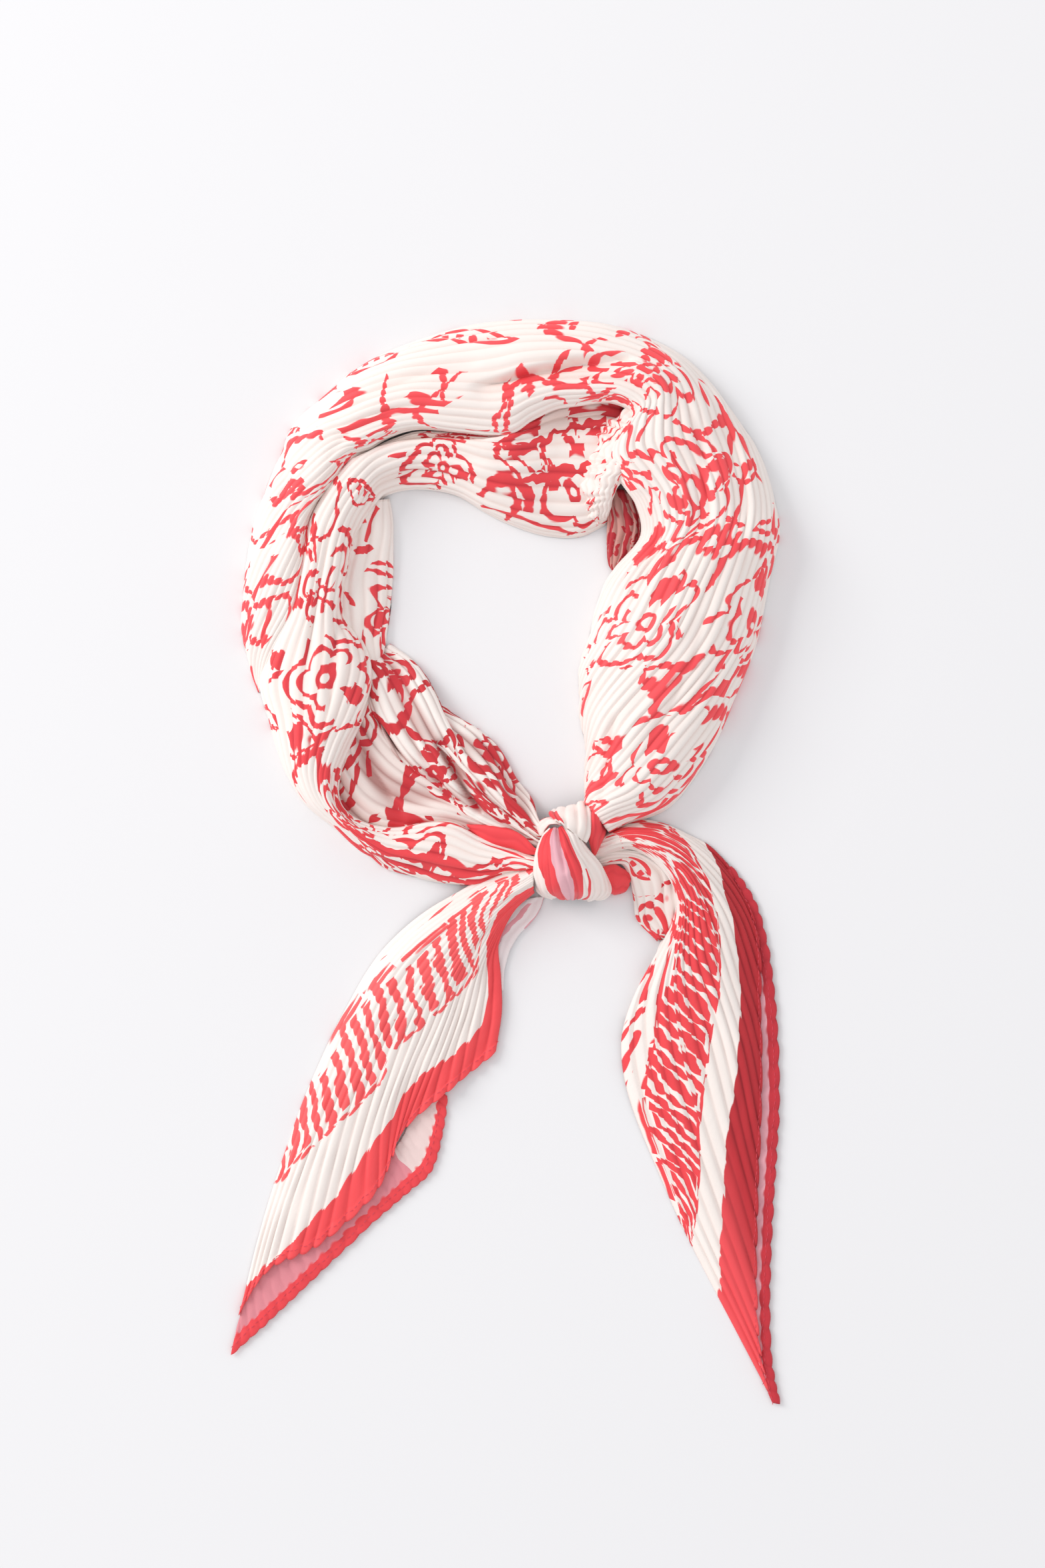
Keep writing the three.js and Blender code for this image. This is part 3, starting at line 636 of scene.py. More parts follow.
def silkMaterial(name, pieceLook):
    # one printed cloth: field print, hem border, stripes of red, pink, pale or clear cloth, and painted
    # shade in the valleys
    look = {**plainLook, **pieceLook}
    material = bpy.data.materials.new(name)
    shader = principledOf(material)
    n = NodeMaker(material.node_tree)
    mapOf = lambda layer: n.make("ShaderNodeUVMap", uv_map=layer)
    cloth = n.vector("SCALE", mapOf("clothMap"), 100.0)
    slipped = n.place(slipGroup, {"Cloth": cloth})
    gap = None
    if not look.get("plain"):
        gap = n.place(flowerGroup, {
            "Cloth": slipped["Cloth"], "Cell": look["cell"], "Line": look["line"],
        })["Gap"]
    if look.get("border"):
        border = n.place(borderGroup, {
            "Border": mapOf("borderMap"), "Slip": (slipped["Chance"] - 0.5) * look["slip"],
            "Slant": look["slant"], "Pitch": look["pitch"], "Width": look["strokes"],
        })
        gap = border["Gap"].nearest(gap.where(border["Field"])) if gap else border["Gap"]
    across, along, _ = n.split(mapOf("placeMap"))
    uneven = n.noise(cloth, 0.16) * look["ragged"] + across
    middle = look["ragged"] / 2

    def stripe(a, b, c, d, start=-1, stop=2):
        # across the piece from a to c where it begins and from b to d where it ends
        wide = (uneven > along * (b - a) + (a + middle)) * (uneven < along * (d - c) + (c + middle))
        return wide * ((along > start) * (along < stop))

    for limits in look.get("clear", []):
        gap = gap.where(1 - stripe(*limits))
    for limits in look.get("redStripes", []):
        near = stripe(*limits) * -40.0 + 20.0  # well inside the ink on the stripe, well outside it elsewhere
        gap = gap.nearest(near) if gap else near
    gap = (gap or across + 30.0) - slipped["Swell"]
    ink = n.make("ShaderNodeMapRange", 0, {"Value": gap, "From Min": 0.28, "From Max": -0.28},
                 interpolation_type="SMOOTHSTEP")
    tone = n.noise(cloth, 0.06, 2.0)
    # painted light and shade: 1 where lit, lower in the painted shade of the valleys, varied by a random
    # tone
    paintedShade = n.make("ShaderNodeAttribute", "Fac", attribute_type="GEOMETRY", attribute_name="paintedShade")
    paintedLight = (tone * 0.5 + 0.75).math("SUBTRACT", paintedShade * 0.75, clamp=True)
    # painted shade: the red darkens in the valleys
    red = n.mix(paintedLight, look["redPaintedShade"], look["red"])
    # painted light and shade on the border: its own red, set lighter or darker than the field's, darkening
    # in the valleys
    if "paintedLightBorderRed" in look:
        edge = n.mix(paintedLight, look["paintedShadeBorderRed"], look["paintedLightBorderRed"])
        if "paintedLighterBorderRed" in look:  # painted light: lighter from one place across the folds to another
            low, high = look["tipAt"]
            edge = n.mix((across - low).math("DIVIDE", high - low, clamp=True), edge, look["paintedLighterBorderRed"])
        red = n.mix(border["Edge"], red, edge)
    # painted shade: the cream darkens in the valleys
    cream = n.mix(paintedShade * look["depth"], look["base"], look["paintedShadeColour"])
    for limits in look.get("paleStripes", []):
        cream = n.mix(stripe(*limits), cream, look["pale"])
    colour = n.mix(ink, cream, red)
    for limits in look.get("pinkStripes", []):
        colour = n.mix(stripe(*limits), colour, n.mix(tone, colours["pinkShade"], colours["pink"]))
    weave = n.place(weaveGroup, {"Cloth": cloth})
    bump = n.make("ShaderNodeBump", 0, {"Strength": 0.35, "Distance": 0.0003, "Height": weave["Height"]})
    for label, value in (("Normal", bump), ("Base Color", colour), ("Roughness", weave["Roughness"]),
                         ("Sheen Weight", 0.08), ("Specular IOR Level", 0.3)):
        plug(n.tree, value, shader.inputs[label])
    return material


def addStretch(name, surface, ownPiece):
    piece = {**plainPiece, **ownPiece}
    cloth, area, points = clothMesh(name, surface, piece)
    width = np.mean(piece["pleats"]) * silk["pleatCloth"] * piece["clothScale"] / 1000
    width *= 1 + 2 * piece["under"]
    flat = (round(width, 3), round(area / width, 3))
    cloth.data.materials.append(silkMaterial(name + "Silk", piece["look"]))
    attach(cloth, "root")
    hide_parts(*piece["nodes"])
    print(name, "faces", len(cloth.data.polygons), "flat", *flat)
    return points


# A piece's sections run along it: edge a, edge b, and how far the cloth rises between them.
# A crease is its depth, how far it slopes on its left and on its right, and its line.
# A stripe is in shares across the piece, from a to c where it begins and from b to d where it ends.
# Two more numbers are the shares along the piece where the stripe starts and stops.
outerRoll = {
    "nodes": ["loop_right", "loop_top", "loop_left", "layers_loop"],
    # clockwise from the knot, with edge a at the outline
    "sections": [
        (47, 13, 4, 36.5, 26, 5, 11), (56, 17.5, 2, 36.3, 33, 2, 16), (73, 24, 0, 37.3, 43, 0, 20),
        (87, 41, 0, 36.5, 55, 0, 22), (97.5, 60, 0, 34, 70, 0, 23), (106, 80, 0, 34, 85, 0, 24),
        (113, 100, 0, 38, 101, 0, 24), (117.7, 123, 0, 44, 120, 0, 25), (122.5, 145, 0, 49.8, 131, 2, 25),
        (121.5, 161, 0, 60.5, 145, 9, 18), (117, 175, 0, 59, 159, 13, 15),
        (111.5, 188.5, 0, 52, 170, 15, 13), (104.5, 199, 0, 46, 180, 13, 14),
        (95.5, 212, 0, 50, 191, 12, 14), (82.5, 224, 0, 57, 200, 12, 14), (67, 234, 0, 47, 205.3, 12, 14),
        (50, 240, 0, 32.5, 204, 12, 14), (31, 243, 0, 22, 202.4, 12, 14), (10, 243.5, 0, 12, 197.6, 12, 14),
        (-10, 241.3, 0, 1, 190.5, 12, 14), (-30, 236.5, 0, -19.5, 191.8, 12, 14),
        (-49, 230, 0, -38, 193, 12, 14), (-67.5, 220, 0, -52, 189, 12, 14),
        (-81, 209.5, 0, -61, 183.5, 12, 14), (-93, 197.5, 0, -68, 179.3, 12, 13),
        (-102.5, 179.5, 0, -76, 166.5, 12, 13), (-110.5, 156, 0, -84, 153, 12, 12),
        (-116.3, 132, 0, -88.3, 132, 12, 11), (-118, 108, 0, -91.5, 112, 9, 9),
        (-115.5, 91, 0, -98, 95, 6, 6.5), (-110.5, 76, 0, -104, 80, 3, 3),
    ],
    "rows": 225, "seed": 3, "rise": 1.1, "pleatPaintedShade": 0.8, "creasePaintedShade": 0.18, "undulate": 0.4, "bundle": 0.35,
    "printAt": (260, 420),
    "pleats": [12, 19, 24, 25, 20, 17, 16, 16, 15, 14, 12],
    "middle": [0, 4, 10, 12, 13, 14, 14.5, 15.5, 19, 26, 34],
    "creases": [
        (6.5, 1.1, 6, [(-14, 211.5), (0, 215), (8, 218), (21, 221), (32.5, 223), (44, 224.5), (58, 225)]),
        (2.6, 16, 3.5, [(-60, 184), (-70, 177), (-78, 167), (-84, 156), (-87.5, 143),
                        (-89.5, 130), (-92, 117)]),
        (2.4, 2.2, 2.0, [(49, 66), (46, 50), (44, 38), (42, 24)]),
        (2.6, 3, 4.5, [(62, 166), (66, 152), (67, 140), (63, 128), (56, 112)]),
        (1.8, 2, 5, [(79, 208), (87, 192), (89.5, 173), (90, 155), (87, 140), (82, 122)]),
        (1.5, 2, 5, [(95, 205), (103, 188), (107, 170), (108, 150), (106, 130)]),
        (1.8, 2, 4, [(-100, 190), (-98, 170), (-100, 155), (-106, 140)]),
        (1.6, 2, 4, [(-30, 202), (-50, 200), (-68, 192), (-80, 178)]),
        (1.4, 3, 3, [(-10, 222), (-35, 218), (-60, 208), (-78, 196)]),
        (1.8, 2, 3, [(20, 216), (40, 216), (55, 213), (68, 205)]),
        (1.5, 3, 3, [(90, 110), (84, 90), (74, 70), (62, 48)]),
    ],
    "look": {
        "cell": 58.0, "line": 1.5, "red": (1.0, 0.098, 0.112), "redPaintedShade": (0.80, 0.05, 0.06),
        "clear": [(0.92, 0.92, 1.08, 1.08), (-1, -1, 0.16, 0.16, 0.30, 0.50),
                  (0.84, 0.84, 1.1, 1.1, 0.22, 0.35)],
    },
}
addStretch("outerRoll", rolledSurface(outerRoll["sections"]), outerRoll)

innerRoll = {
    "nodes": ["inner_top", "inner_left", "front_strand", "layers_strand"],
    # from under the collar to the left, down and back to the knot
    "sections": [
        (54, 210, 4, 46.5, 152, 1, 5), (42, 213, 4, 34, 146, 0, 8), (27, 210, 4, 20, 146.4, 0, 9.5),
        (11, 201, 7, 7, 150, 0, 12), (-5, 194.5, 9, -8, 156.5, 0, 13), (-22, 195, 9, -22, 164.6, 0, 12),
        (-40, 195, 9, -38, 167.7, 0, 12), (-57, 189, 9, -52, 165.6, 0, 12),
        (-68, 180.5, 9, -58.5, 159.5, 0, 13), (-78, 169, 9, -65, 149.5, 3, 12),
        (-87, 153, 9, -67.6, 139, 5, 12), (-91.5, 133, 9, -69.2, 127, 5, 12),
        (-95.5, 113, 8, -70.5, 110, 5, 12), (-104, 96, 5, -64, 97, 4, 14),
        (-109.3, 79.5, 1, -60, 83, 4.2, 17), (-105.5, 64, 0, -63, 66, 4.2, 18),
        (-101.6, 50, 0, -69.5, 50.5, 4.2, 17), (-97, 38, 0, -74.2, 38, 4.2, 16),
        (-89, 26, 0, -74, 27.5, 4.2, 15), (-78, 16.5, 0, -69, 20.5, 4.2, 14), (-67, 7, 0, -60, 16, 4.2, 12),
        (-55, -2.2, 0, -48, 14.8, 4.2, 11), (-41, -6.7, 0, -33, 17.6, 4.2, 11),
        (-27, -9.8, 0, -22, 17.4, 4.2, 11), (-12, -10, 1, -11, 11, 4.5, 10), (1, -5.5, 4, 0, 6, 5, 9),
        (13.5, -3, 7, 13.5, 1.5, 8, 7), (19, -3, 5, 19, 1, 6, 3),
    ],
    "rows": 210, "seed": 8, "rise": 1.1, "pleatPaintedShade": 0.8, "undulate": 0.35, "bundle": 0.35, "printAt": (40, 700),
    "pleats": [15, 14, 12, 11, 10, 11, 15, 13, 9, 8, 6],
    "middle": [0, 0.5, 1, 1, 1, 1.5, 2.5, 3.5, 5, 5.5, 6],
    "creases": [
        (6, 1.8, 7, [(8, 196), (0, 192), (-10, 190.5), (-30, 191.5), (-48, 190), (-58, 187), (-68, 181)]),
        # a broad shallow crease under the strand, which also carries painted shade there
        (4.5, 8, 18, [(56, 205), (40, 201), (20, 197), (4, 192)]),
        (2.0, 2, 4, [(-22, 172), (-40, 174), (-54, 169), (-62, 160)]),
        (1.8, 2, 4, [(20, 184), (0, 178), (-25, 181), (-45, 181)]),
        (2.2, 3, 2, [(-66, 150), (-69, 130), (-74, 105), (-78, 85), (-77, 66)]),
        (1.8, 3, 2, [(-77, 150), (-82, 125), (-86, 100), (-88, 75), (-86, 50)]),
        (1.8, 2, 3, [(-84, 12), (-66, 3), (-45, -2), (-20, -4), (5, -2)]),
    ],
    "look": {
        "cell": 50.0, "line": 1.6, "ragged": 0.10, "clear": [(0.92, 0.92, 1.03, 1.03)],
        "redStripes": [(1.22, 0.15, 1.36, 0.27, 0.71, 0.95), (0.90, 0.03, 0.98, 0.09, 0.76, 0.92),
                       (0.29, 0.90, 0.33, 0.94, 0.02, 0.13), (0.48, 1.10, 0.53, 1.15, 0.03, 0.15)],
    },
}
addStretch("innerRoll", rolledSurface(innerRoll["sections"]), innerRoll)

# Painted shade in the valleys of the fan and the pocket: a dark, strong shade colour and a darker red, with
# a heavier print line.
paintedShadeCreviceLook = {"paintedShadeColour": (0.46, 0.18, 0.16), "depth": 0.85, "line": 1.9, "red": (0.66, 0.038, 0.048)}
allRed = {"plain": True, "redStripes": [(-1, -1, 2, 2)]}
fan = {"pleats": 10, "creasePaintedShade": 0.25, "bundle": 1.1, "bundlePaintedShade": 0.45, "undulate": 0.2, "wander": 0}
smallPiece = {"undulate": 0.2, "bundle": 0.2}
knotTurn = {**smallPiece, "pleats": 3, "rows": 30, "clothScale": 0.8}
smallStretches = {
    "underFold": {
        "nodes": ["loop_under"], "pleats": 6, "rows": 50, "seed": 1, "printAt": (300, 1500),
        "sections": [
            (-62, 161, 3, -52, 163, 0, 3), (-69, 150, 3, -50.6, 150, 0, 5), (-73, 138, 3, -50.4, 135, 0, 6),
            (-75, 122, 3, -51, 120, 0, 6), (-74, 105, 2, -53, 105, 0, 6), (-68, 92, 1, -55, 93, 0, 5),
            (-62, 84, 0, -57.5, 84, 0, 3),
        ],
    },
    "collarFold": {
        "nodes": ["collar"], "pleats": 8, "columns": 5, "rows": 90, "seed": 5, "printAt": (120, 1900),
        "rise": 0.9, "steep": 0.35, "crinkle": 0.2, "bundle": 0.2, "wander": 0.2, "wanderTurns": 60,
        "pleatPaintedShade": 0.9, "clothScale": 0.6, "gathers": (1.7, 13),
        "look": {"cell": 26.0, "line": 0.8, "clear": [(0.5, 0.5, 0.8, 0.8)]},
        "sections": [
            (60, 204, 12, 68, 199, 17, 2), (51, 199.5, 9, 63, 191, 17, 4), (43, 191.5, 7, 59, 182, 17, 6),
            (38, 181, 6, 55.5, 175, 16, 7.5), (35, 171, 5, 51, 169, 14, 8), (37, 162, 4, 48, 161.5, 10, 7),
            (38, 154, 2, 46.5, 155.5, 5, 4.5), (42, 151, 1, 44.5, 152.5, 2, 2),
        ],
    },
    "pocketFold": {
        "nodes": ["pocket"], "pleats": 6, "rows": 30, "seed": 6, "printAt": (420, 2100),
        "undulate": 0, "bundle": 0.2, "steep": 0.4, "pleatPaintedShade": 0.9, "clothScale": 0.7,
        # painted shade: the pocket's cream and red are painted dark, for the shade inside it
        "look": {
            **paintedShadeCreviceLook, "cell": 20.0, "ragged": 0.14, "line": 0.9, "base": (0.64, 0.31, 0.27),
            "red": (0.50, 0.028, 0.04),
            "redStripes": [(0.22, 0.12, 0.30, 0.20), (0.48, 0.60, 0.56, 0.66), (0.76, 0.85, 0.84, 0.92)],
        },
        "sections": [
            (44, 168, 6, 58, 166, 5, 1), (46.5, 155, 4, 61, 152, 4, 1), (46, 143, 2, 60, 142, 2, 1),
            (46.5, 134, 1.3, 54, 134, 1.3, 0.8), (49, 130.5, 1, 51, 130.5, 1, 0.5),
        ],
    },
    "fanBack": {
        "nodes": ["fan_back"], "pleats": 7, "rows": 70, "seed": 11, "printAt": (500, 2300),
        "rise": 1.8, "steep": 0.34, "pleatPaintedShade": 0.8, "bundle": 0.8, "bundlePaintedShade": 0.5, "undulate": 0.2,
        "look": {"cell": 44.0, **paintedShadeCreviceLook},
        "sections": [
            (20, 14.5, 8, 19, 10, 8, 3), (15.5, 17.5, 6, 14, 12, 8, 4), (11, 27, 1, 5, 18, 6, 6),
            (4, 36.5, 0, -6, 26, 6, 7), (-3, 49.5, 0, -17, 37, 6, 6), (-13, 60, 0, -27, 50, 5, 5),
            (-24, 67.5, 0, -40, 60, 3, 3), (-33, 74, 0, -48, 66, 2, 2),
        ],
    },
    "fanFront": {
        **fan, "nodes": ["fan_front"], "rows": 90, "seed": 12, "printAt": (620, 2500),
        "rise": 1.8, "steep": 0.28, "pleatPaintedShade": 0.7,
        "creases": [(7, 3.4, 0.9, [(-31, 54), (-25, 43), (-18, 31), (-11, 21)]),
                    (4.5, 1, 3, [(-58, 64), (-50, 50), (-42, 37), (-30, 21)]),
                    (2.5, 1, 2.5, [(-45, 62), (-37, 47), (-28, 33), (-18, 21)])],
        "look": {"cell": 42.0, **paintedShadeCreviceLook},
        "sections": [
            (19, 10, 9, 18, 6, 9, 2), (14, 12.5, 9, 12.8, 8.5, 9, 3), (5, 20, 9, 0, 14, 7, 4),
            (-7, 31, 8, -14, 20, 6, 5), (-17, 46, 7, -31, 30, 4, 6), (-25, 63, 5, -46, 43, 4, 6),
            (-31, 77, 3, -58, 60, 4, 6), (-39.5, 89, 0, -64, 76, 3, 5), (-52, 97, 0, -68, 88, 1, 2),
        ],
    },
    "fanTrough": {
        **fan, "nodes": ["fan_trough"], "rows": 80, "seed": 13, "printAt": (740, 2700),
        "rise": 1.6, "steep": 0.26,
        "creases": [(2.5, 1, 3, [(-70, 58), (-60, 42), (-52, 30), (-44, 19)])],
        # painted shade: the trough's cream is painted darker and pinker
        "look": {"cell": 54.0, **paintedShadeCreviceLook, "base": (0.90, 0.77, 0.72)},
        "sections": [
            (9, 11, 6, 8, 4, 6, 2), (-8, 24, 5, -10, 9, 5, 3), (-24, 32, 5, -26, 13, 4, 3),
            (-38, 42, 4, -44, 11, 3, 3.5), (-50, 54, 4, -64, 14, 3, 3.5), (-60, 68, 4, -78, 30, 3, 3.5),
            (-66, 82, 3, -84, 56, 3, 3),
        ],
    },
    "redFlap": {
        **smallPiece, "nodes": ["red_flap"], "slot": "red_cloth", "pleats": 2, "rows": 24, "seed": 14,
        "rise": 0.5,
        "look": {"plain": True, "redStripes": [(-1, -1, 0.92, 0.92)]},
        "sections": [
            (-17, 16.5, 7, -15, 14, 7, 1), (-8, 16, 9, -8, 8.5, 8, 2), (2, 15, 11, 2, 6.3, 9, 2.5),
            (9, 11, 12, 9, 4, 10, 2.5), (13.5, 6, 12, 13.2, 3, 11, 1.5), (18, 5, 9, 18, 2.5, 9, 1),
        ],
    },
    "knotFront": {
        "nodes": ["knot_front", "layers_knot"], "slot": "red_cloth", "pleats": 13, "rows": 70, "seed": 15,
        "rise": 0.8, "steep": 0.34, "pleatPaintedShade": 0.5, "undulate": 0.4, "bundle": 0.35, "wander": 0,
        "clothScale": 0.55,
        "creases": [(2.6, 0.8, 1.2, [(23.8, 15), (24.8, 8), (25.8, 1), (27.4, -4.5)]),
                    (1.2, 0.9, 1.6, [(31, 11), (36.5, 2), (40.5, -6), (42, -14)]),
                    (1.0, 0.8, 1.6, [(19, 10), (18, 2), (18.5, -6), (21, -13)]),
                    (0.9, 1.2, 0.8, [(27, 4), (29.5, -4), (31, -12)])],
        "look": {
            "plain": True, "ragged": 0.035, "pinkStripes": [(0.33, 0.42, 0.51, 0.51)],
            "redStripes": [(0.10, 0.33, 0.33, 0.42), (0.51, 0.51, 0.68, 0.555),
                           (0.70, 0.60, 0.71, 0.63, 0.45, 1)],
        },
        "sections": [
            (20.5, 15, 18, 27, 16, 18, 3), (16.5, 10.5, 14, 32, 12.5, 14, 13), (14, 5, 8, 37, 5.5, 10, 21),
            (12.9, -2, 5, 43, -1.5, 6, 25), (13.2, -8, 3, 46, -7.5, 4, 24),
            (14.5, -12.5, 2, 47, -12.5, 3, 19), (17, -15, 1, 45, -15.4, 2, 12),
            (21, -16.4, 1, 41, -16.8, 2, 6),
        ],
    },
    "knotBack": {
        "nodes": ["knot_back"], "pleats": 5, "rows": 30, "seed": 16,
        "rise": 1.3, "steep": 0.4, "undulate": 0.1, "bundle": 0, "wander": 0, "clothScale": 0.8,
        "look": {"plain": True, "redStripes": [(-1, -1, 0.36, 0.22, 0.12, 0.72)]},
        "sections": [
            (23, 18.6, 22, 36, 8.6, 17, 4), (21.5, 20.3, 17, 38, 14, 16, 6), (20.5, 22, 10, 38.5, 21, 11, 7),
            (22, 23, 3, 37.5, 27, 4, 5),
        ],
    },
    "knotRed": {
        **knotTurn, "nodes": ["knot_red"], "slot": "red_cloth", "seed": 17, "rise": 0.7, "look": allRed,
        "sections": [
            (36.5, 27.4, 3, 41, 26.5, 1, 2), (39, 23, 11, 44, 22, 3, 6), (39.2, 17, 14, 45.6, 16, 4, 7),
            (38, 11, 14, 44.8, 11, 5, 7), (38.6, 6.5, 12, 42, 6, 8, 4), (39.5, 3, 9, 40.5, 3, 8, 2),
        ],
    },
    "knotSmall": {
        **knotTurn, "nodes": ["knot_small"], "seed": 18, "rise": 0.6, "undulate": 0.1, "bundle": 0.1,
        "look": {"plain": True, "redStripes": [(-1, -1, 0.22, 0.1), (0.75, 0.9, 2, 2)]},
        "sections": [
            (15, 12, 7, 17.5, 11.5, 12, 3), (14.3, 16, 5, 18.5, 14.5, 14, 5), (17.5, 19, 7, 20, 16.6, 17, 5),
            (21.5, 20, 13, 22.5, 17.2, 20, 3), (26, 18.5, 17, 25, 16.6, 20, 2),
        ],
    },
    "knotEnd": {
        **knotTurn, "nodes": ["knot_end"], "slot": "red_cloth", "rows": 20, "seed": 19,
        "rise": 0.5, "look": allRed,
        "sections": [
            (44, -2.5, 4, 46.6, -13.5, 2, 5), (50, -1.8, 3, 50, -15, 0, 7), (55.5, -4.5, 1, 54, -13.5, 0, 5),
            (57, -7, 0.5, 56, -11, 0, 3),
        ],
    },
    "rightArch": {
        "nodes": ["tail_right_arch"], "pleats": 7, "rows": 44, "seed": 20, "printAt": (900, 3000),
        "steep": 0.35, "undulate": 0.3, "look": {"cell": 38.0},
        "sections": [
            (39, -4, 2, 42, 4, 3, 1), (45, -2, 3, 52, 6, 4, 2), (52, -1, 3, 66, 4, 4, 2),
            (56, -8, 2.5, 77, -2, 3, 2.5), (58.2, -17, 1.6, 80, -13, 2, 3),
            (60.5, -26.5, 1.5, 80, -24, 2, 3), (69, -35.5, 1.3, 79, -34, 1.5, 2),
        ],
    },
    "rightFlap": {
        "nodes": ["tail_right_flap"], "pleats": 3, "rows": 30, "seed": 21, "printAt": (930, 3100),
        "undulate": 0.3, "look": {"cell": 34.0},
        "sections": [
            (72, -34, 1.3, 78, -36, 1.3, 1), (66, -45.5, 1.3, 77, -47, 1.3, 1.2),
            (61, -57, 1.3, 73, -59, 1.3, 1.2), (55, -70.5, 1.3, 61, -68.5, 1.3, 1),
        ],
    },
    "leftSheer": {
        "nodes": ["tail_left_sheer"], "pleats": 3, "rows": 34, "seed": 24, "printAt": (960, 3200),
        "rise": 0.5, "undulate": 0.1, "bundle": 0.1,
        "look": {
            "plain": True, "ragged": 0.12, "base": (0.90, 0.82, 0.82), "paintedShadeColour": (0.82, 0.66, 0.67),
            "red": (0.86, 0.40, 0.45),
            "redStripes": [(0.40, 0.52, 0.52, 0.64, 0.12, 0.8), (0.74, 0.62, 0.86, 0.74, 0.35, 0.7),
                           (-1, -1, 0.10, 0.10, 0.0, 0.4)],
        },
        "sections": [
            (18, -15.5, 1.3, 8, -17, 1.3, 0.5), (15, -23, 1.3, 1, -22, 1.3, 0.6),
            (5, -35, 1.3, -8, -34, 1.3, 0.6), (0.5, -46, 1.3, -12, -46, 1.3, 0.6),
            (-0.6, -58, 1.3, -12, -60, 1.3, 0.5),
        ],
    },
}
for name, piece in smallStretches.items():
    surface = rolledSurface(piece["sections"], silk["smallSag"])
    addStretch(name, surface, {"under": silk["smallTurnUnder"], **piece})


def insetLines(sections, inset):
    # the hem along edge a, the end of its narrow border, and two lines out of the way, for the under layers
    hem, inset = np.array(sections, float)[:, :2], np.array(inset)
    return [(hem + times * inset).tolist() for times in (0, 1, 14, 60)]


# The zones of a tail are its hem, the end of its border, and the two sides of its strokes.
underLayer = {
    "slot": "red_cloth", "rows": 14, "rise": 0.45, "undulate": 0.1, "bundle": 0.05, "under": 0,
    "clothScale": 1.2,
}
underLook = {"border": True, "plain": True, "slip": 0.0, "strokes": -1.0}
leftUnder = {
    **underLayer, "nodes": ["tail_left_under"], "pleats": 26, "seed": 23, "scallop": 0.06,
    "look": {
        **underLook, "base": (0.80, 0.28, 0.32), "paintedShadeColour": (0.62, 0.17, 0.21), "ragged": 0.03,
        "pale": (0.88, 0.68, 0.65), "paleStripes": [(0.68, 0.68, 2, 2)],
    },
    "sections": [
        (-123.2, -222, 1, -121, -212, 1, 0.4), (-108.9, -209.3, 1, -114, -190, 1, 0.6),
        (-95, -196.3, 1, -101, -178, 1, 0.6), (-78, -180, 1, -86, -165, 1, 0.6),
        (-60, -163, 1, -68, -150, 1, 0.6), (-44, -149.2, 1, -54, -134, 1, 0.6),
        (-33, -139, 1, -46, -124, 1, 0.6), (-28, -122, 1, -40, -110, 1, 0.6),
        (-25.7, -105.5, 1, -35, -98, 1, 0.5),
    ],
}
leftUnder["zones"] = insetLines(leftUnder["sections"], (-3.1, 3.5))
rightUnder = {
    **underLayer, "nodes": ["tail_right_under"], "pleats": 30, "seed": 22, "scallop": 0.10,
    "look": {
        **underLook, "base": (0.86, 0.42, 0.47), "paintedShadeColour": (0.66, 0.24, 0.30),
        # painted shade: the border red is set dark here, darker still in the valleys
        "paintedLightBorderRed": (0.62, 0.034, 0.05), "paintedShadeBorderRed": (0.32, 0.012, 0.024),
    },
    "sections": [
        (102, -2, 1, 96, -6, 1, 0.6), (113, -19, 1, 104, -22, 1, 0.6), (119, -42, 1, 108, -42, 1, 0.6),
        (122.3, -71, 1, 111, -71, 1, 0.6), (123.5, -105, 1, 112, -105, 1, 0.6),
        (122, -135, 1, 111, -135, 1, 0.6), (120.3, -162, 1, 110, -162, 1, 0.6),
        (119.1, -194, 1, 110, -194, 1, 0.6), (120, -225, 1, 113, -222, 1, 0.5),
        (123.7, -244.1, 1, 121, -243.4, 1, 0.4),
    ],
}
rightUnder["zones"] = insetLines(rightUnder["sections"][::-1], (-3.8, -0.8))

